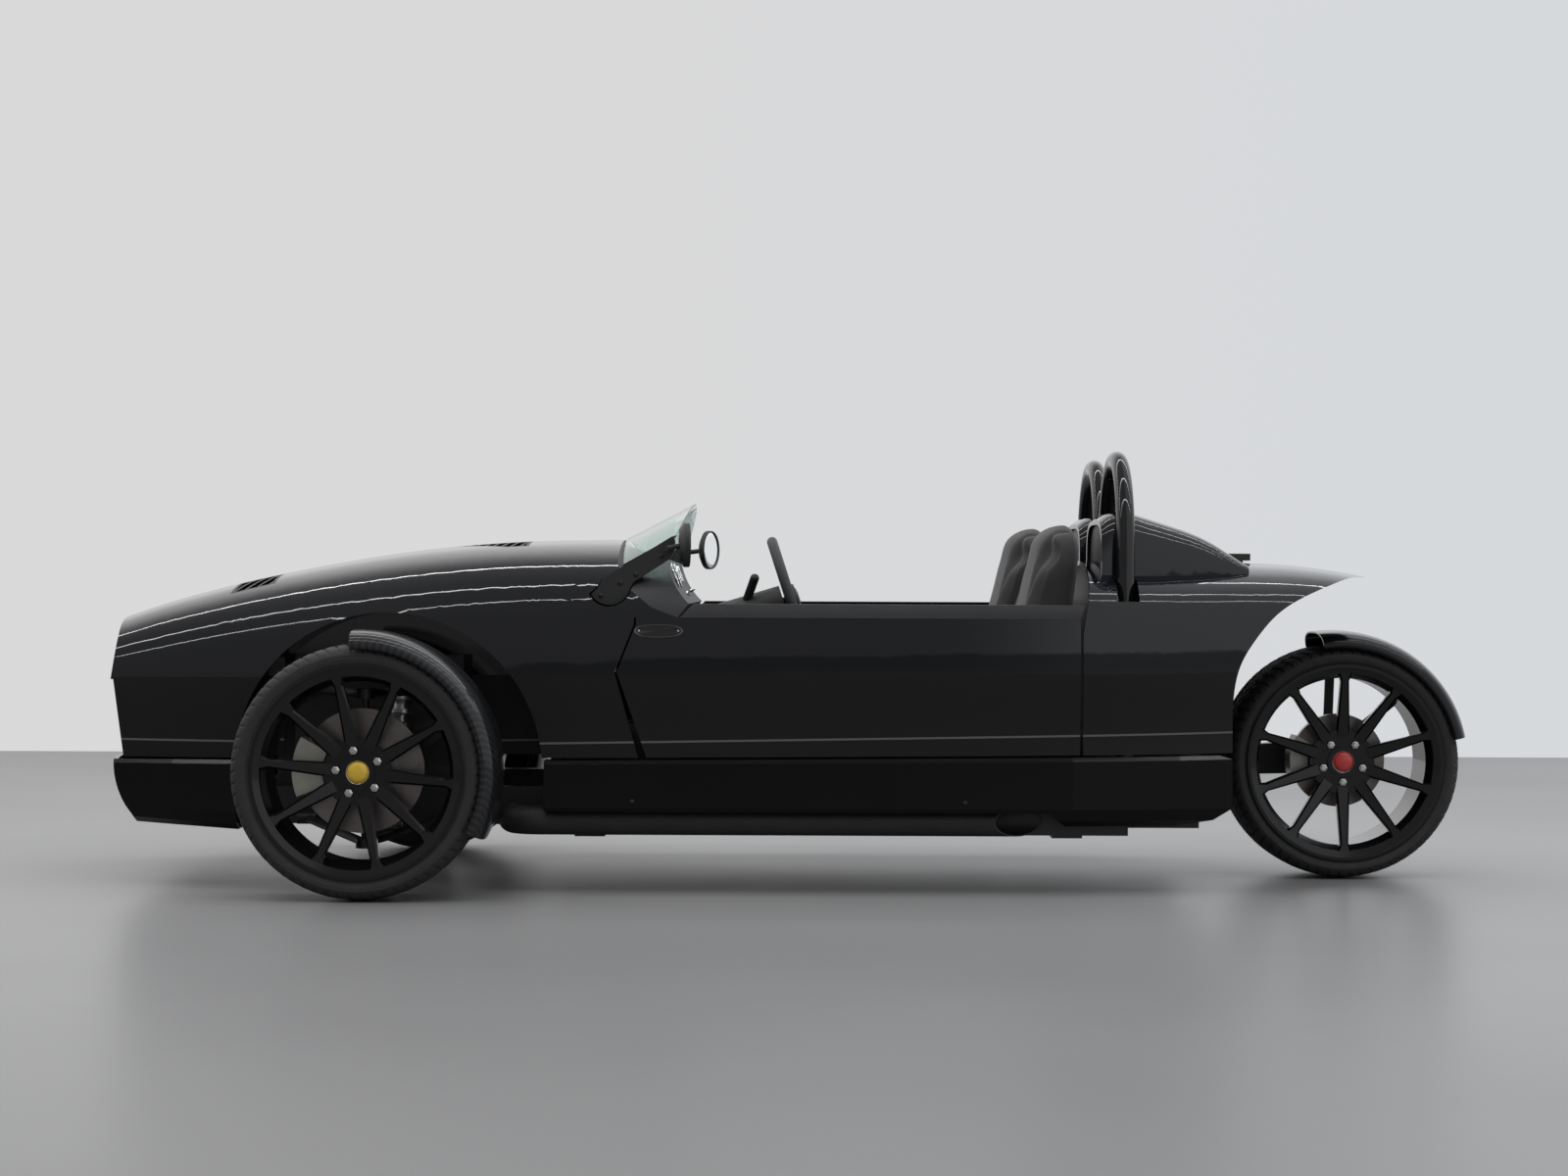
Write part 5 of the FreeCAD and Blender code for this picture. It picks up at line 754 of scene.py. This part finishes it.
# Sill seals: black rubber strips, drawn through a die to one section and pushed on to the side rails.
# They stand behind the doors' lower edges and close the gap there.
seal_front_x, seal_rear_x, rail_y, rail_top_z = -0.632, 0.795, 0.546, 0.3453
seal_rubber, tree, shader = finish("seal_rubber", (0.012, 0.012, 0.0125), 0.65)
uneven(tree, shader, 900, 0.0001)
seal_section = np.array([(0.0, 0.0), (0.009, 0.0), (0.009, 0.018), (0.0065, 0.044), (0.0045, 0.047),
                         (0.002, 0.044), (0.0, 0.018)])
for side, name in ((-1, "left_sill_seal"), (1, "right_sill_seal")):
    along = np.linspace(seal_front_x, seal_rear_x, 24)
    grid = np.zeros((len(along), len(seal_section), 3))
    grid[..., 0] = along[:, None]
    grid[..., 1] = side * (rail_y + seal_section[None, :, 0])
    grid[..., 2] = rail_top_z + seal_section[None, :, 1]
    seal = surface(name, grid, seal_rubber, round_closed=True, ends=True)
    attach(seal, "chassis")

# Seats: two buckets of foam under dark grey cloth, with a seam between middle panel and side bolsters.
# Each cover starts as the solid seat, is blown up a little as cloth, and gets its sewn seams afterwards.
weave_turns = 3900.0
seat_cloth, tree, shader = finish("seat_cloth", (0.031, 0.0305, 0.031), 0.86)
shader.inputs["Sheen Weight"].default_value = 0.20
shader.inputs["Sheen Roughness"].default_value = 0.45
part = add(tree, "SeparateXYZ", {"Vector": place_in(tree)})
turns = [sums(tree, "MULTIPLY", part.outputs[axis], weave_turns) for axis in "XYZ"]
along, across, up = [sums(tree, "SINE", turn) for turn in turns]
woven = sums(tree, "ADD", sums(tree, "MULTIPLY", along, across), sums(tree, "MULTIPLY", across, up))
raised(tree, shader, woven, 0.00012, 0.6)
mottled(tree, shader, (0.026, 0.0255, 0.026), (0.038, 0.0375, 0.038), 7)


def taken_from(node, side, voxel, rounds):
    """One side's solid of a node, merged, remeshed in even squares and smoothed. side is -1 left, 1 right.
    Smoothing moves each point half way to the middle of its neighbours, as many times as rounds says."""
    mesh = nodes[node].data.copy()
    shell = bmesh.new()
    shell.from_mesh(mesh)
    bmesh.ops.remove_doubles(shell, verts=shell.verts, dist=1e-5)
    bmesh.ops.delete(shell, geom=[v for v in shell.verts if v.co.y * side < 0], context="VERTS")
    shell.to_mesh(mesh)
    shell.free()
    made = bpy.data.objects.new("cover", mesh)
    scene.collection.objects.link(made)
    grid = made.modifiers.new("even", "REMESH")
    grid.mode, grid.voxel_size = "VOXEL", voxel
    ease = made.modifiers.new("ease", "SMOOTH")
    ease.factor, ease.iterations = 0.5, rounds
    return settled(made)


def settled(made):
    """Puts an object's modifiers into its mesh."""
    seen = made.evaluated_get(bpy.context.evaluated_depsgraph_get())
    mesh = bpy.data.meshes.new_from_object(seen)
    made.modifiers.clear()
    made.data = mesh
    return made


def spots_of(mesh, measure="co"):
    """A mesh's points as an array of three columns, or with "normal" the ways they face."""
    flat = np.empty(len(mesh.vertices) * 3)
    mesh.vertices.foreach_get(measure, flat)
    return flat.reshape(-1, 3)


def blown(made, pressure, cap):
    """The cover under pressure as cloth with no weight, over 20 frames. No point moves further than cap."""
    before = spots_of(made.data)
    cloth = made.modifiers.new("cloth", "CLOTH")
    cloth.settings.quality = 5
    cloth.settings.mass = 0.3
    cloth.settings.use_pressure = True
    cloth.settings.uniform_pressure_force = pressure
    cloth.settings.effector_weights.gravity = 0
    for frame_number in range(1, 21):
        scene.frame_set(frame_number)
    made = settled(made)
    scene.frame_set(1)
    moved = spots_of(made.data) - before
    far = np.linalg.norm(moved, axis=1)[:, None]
    moved *= np.minimum(1.0, cap / np.maximum(far, 1e-9))
    made.data.vertices.foreach_set("co", (before + moved).ravel())
    return made


def ease_step(value, low, high):
    """A smooth step from 0 to 1 as value goes from low to high."""
    share = np.clip((value - low) / (high - low), 0, 1)
    return share * share * (3 - 2 * share)


seat_y, floor_z, voxel, last_rounds = 0.30, 0.1705, 0.009, 64
seam_aside, seam_half, seam_top, seam_depth, crown_height = 0.158, 0.0065, 0.955, 0.0060, 0.006
pan_top, pan_reach, back_reach, shoulder_back = 0.36, 0.2185, 0.228, 0.020
for side, name, lean_back in ((-1, "left_seat", 0.030), (1, "right_seat", 0.038)):
    # The cover starts a little inside the solid, is blown up, and smoothed.
    cover = taken_from("seats", side, voxel, rounds=6)
    spots = spots_of(cover.data) - spots_of(cover.data, "normal") * voxel
    cover.data.vertices.foreach_set("co", spots.ravel())
    cover = blown(cover, pressure=4.0, cap=0.024)
    ease = cover.modifiers.new("ease", "SMOOTH")
    ease.factor, ease.iterations = 0.5, last_rounds
    cover = settled(cover)
    # On what faces the sitter, a bell curve each side of the middle panel draws the seam in, and a parabola
    # between the two seams crowns the panel.
    spots, facing_way = spots_of(cover.data), spots_of(cover.data, "normal")
    aside = np.abs(np.abs(spots[:, 1]) - seat_y)
    front = ease_step(facing_way[:, 2] * 0.6 - facing_way[:, 0], 0.15, 0.55)
    seam = np.exp(-((aside - seam_aside) / seam_half) ** 2) * front * (spots[:, 2] < seam_top)
    crown = np.clip(1 - (aside / seam_aside) ** 2, 0, 1) * front
    spots = spots - facing_way * (seam_depth * seam - crown_height * crown)[:, None]
    # The bolsters fade into the shoulders, and the back leans further back with its height.
    fading = ease_step(aside, 0.135, 0.165) * ease_step(-facing_way[:, 0], 0.0, 0.4)
    shoulder = ease_step(spots[:, 2], 0.66, 0.89) * (1 - ease_step(spots[:, 2], 0.89, 0.95))
    spots[:, 0] += shoulder_back * fading * shoulder
    spots[:, 0] += lean_back * ease_step(spots[:, 2], 0.35, 0.90)
    # Nothing reaches past the solid's sides or under its foot.
    reach = np.where(spots[:, 2] < pan_top, pan_reach, back_reach)
    middle = side * seat_y
    spots[:, 1] = middle + np.clip(spots[:, 1] - middle, -reach, reach)
    spots[:, 2] = np.maximum(spots[:, 2], floor_z)
    cover.data.vertices.foreach_set("co", spots.ravel())
    smoother = cover.modifiers.new("finer", "SUBSURF")
    smoother.levels = smoother.render_levels = 1
    cover = settled(cover)
    cover.name = name
    cover.data.materials.clear()
    cover.data.materials.append(seat_cloth)
    cover.data.polygons.foreach_set("use_smooth", [True] * len(cover.data.polygons))
    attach(cover, "chassis")
    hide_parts("seats")
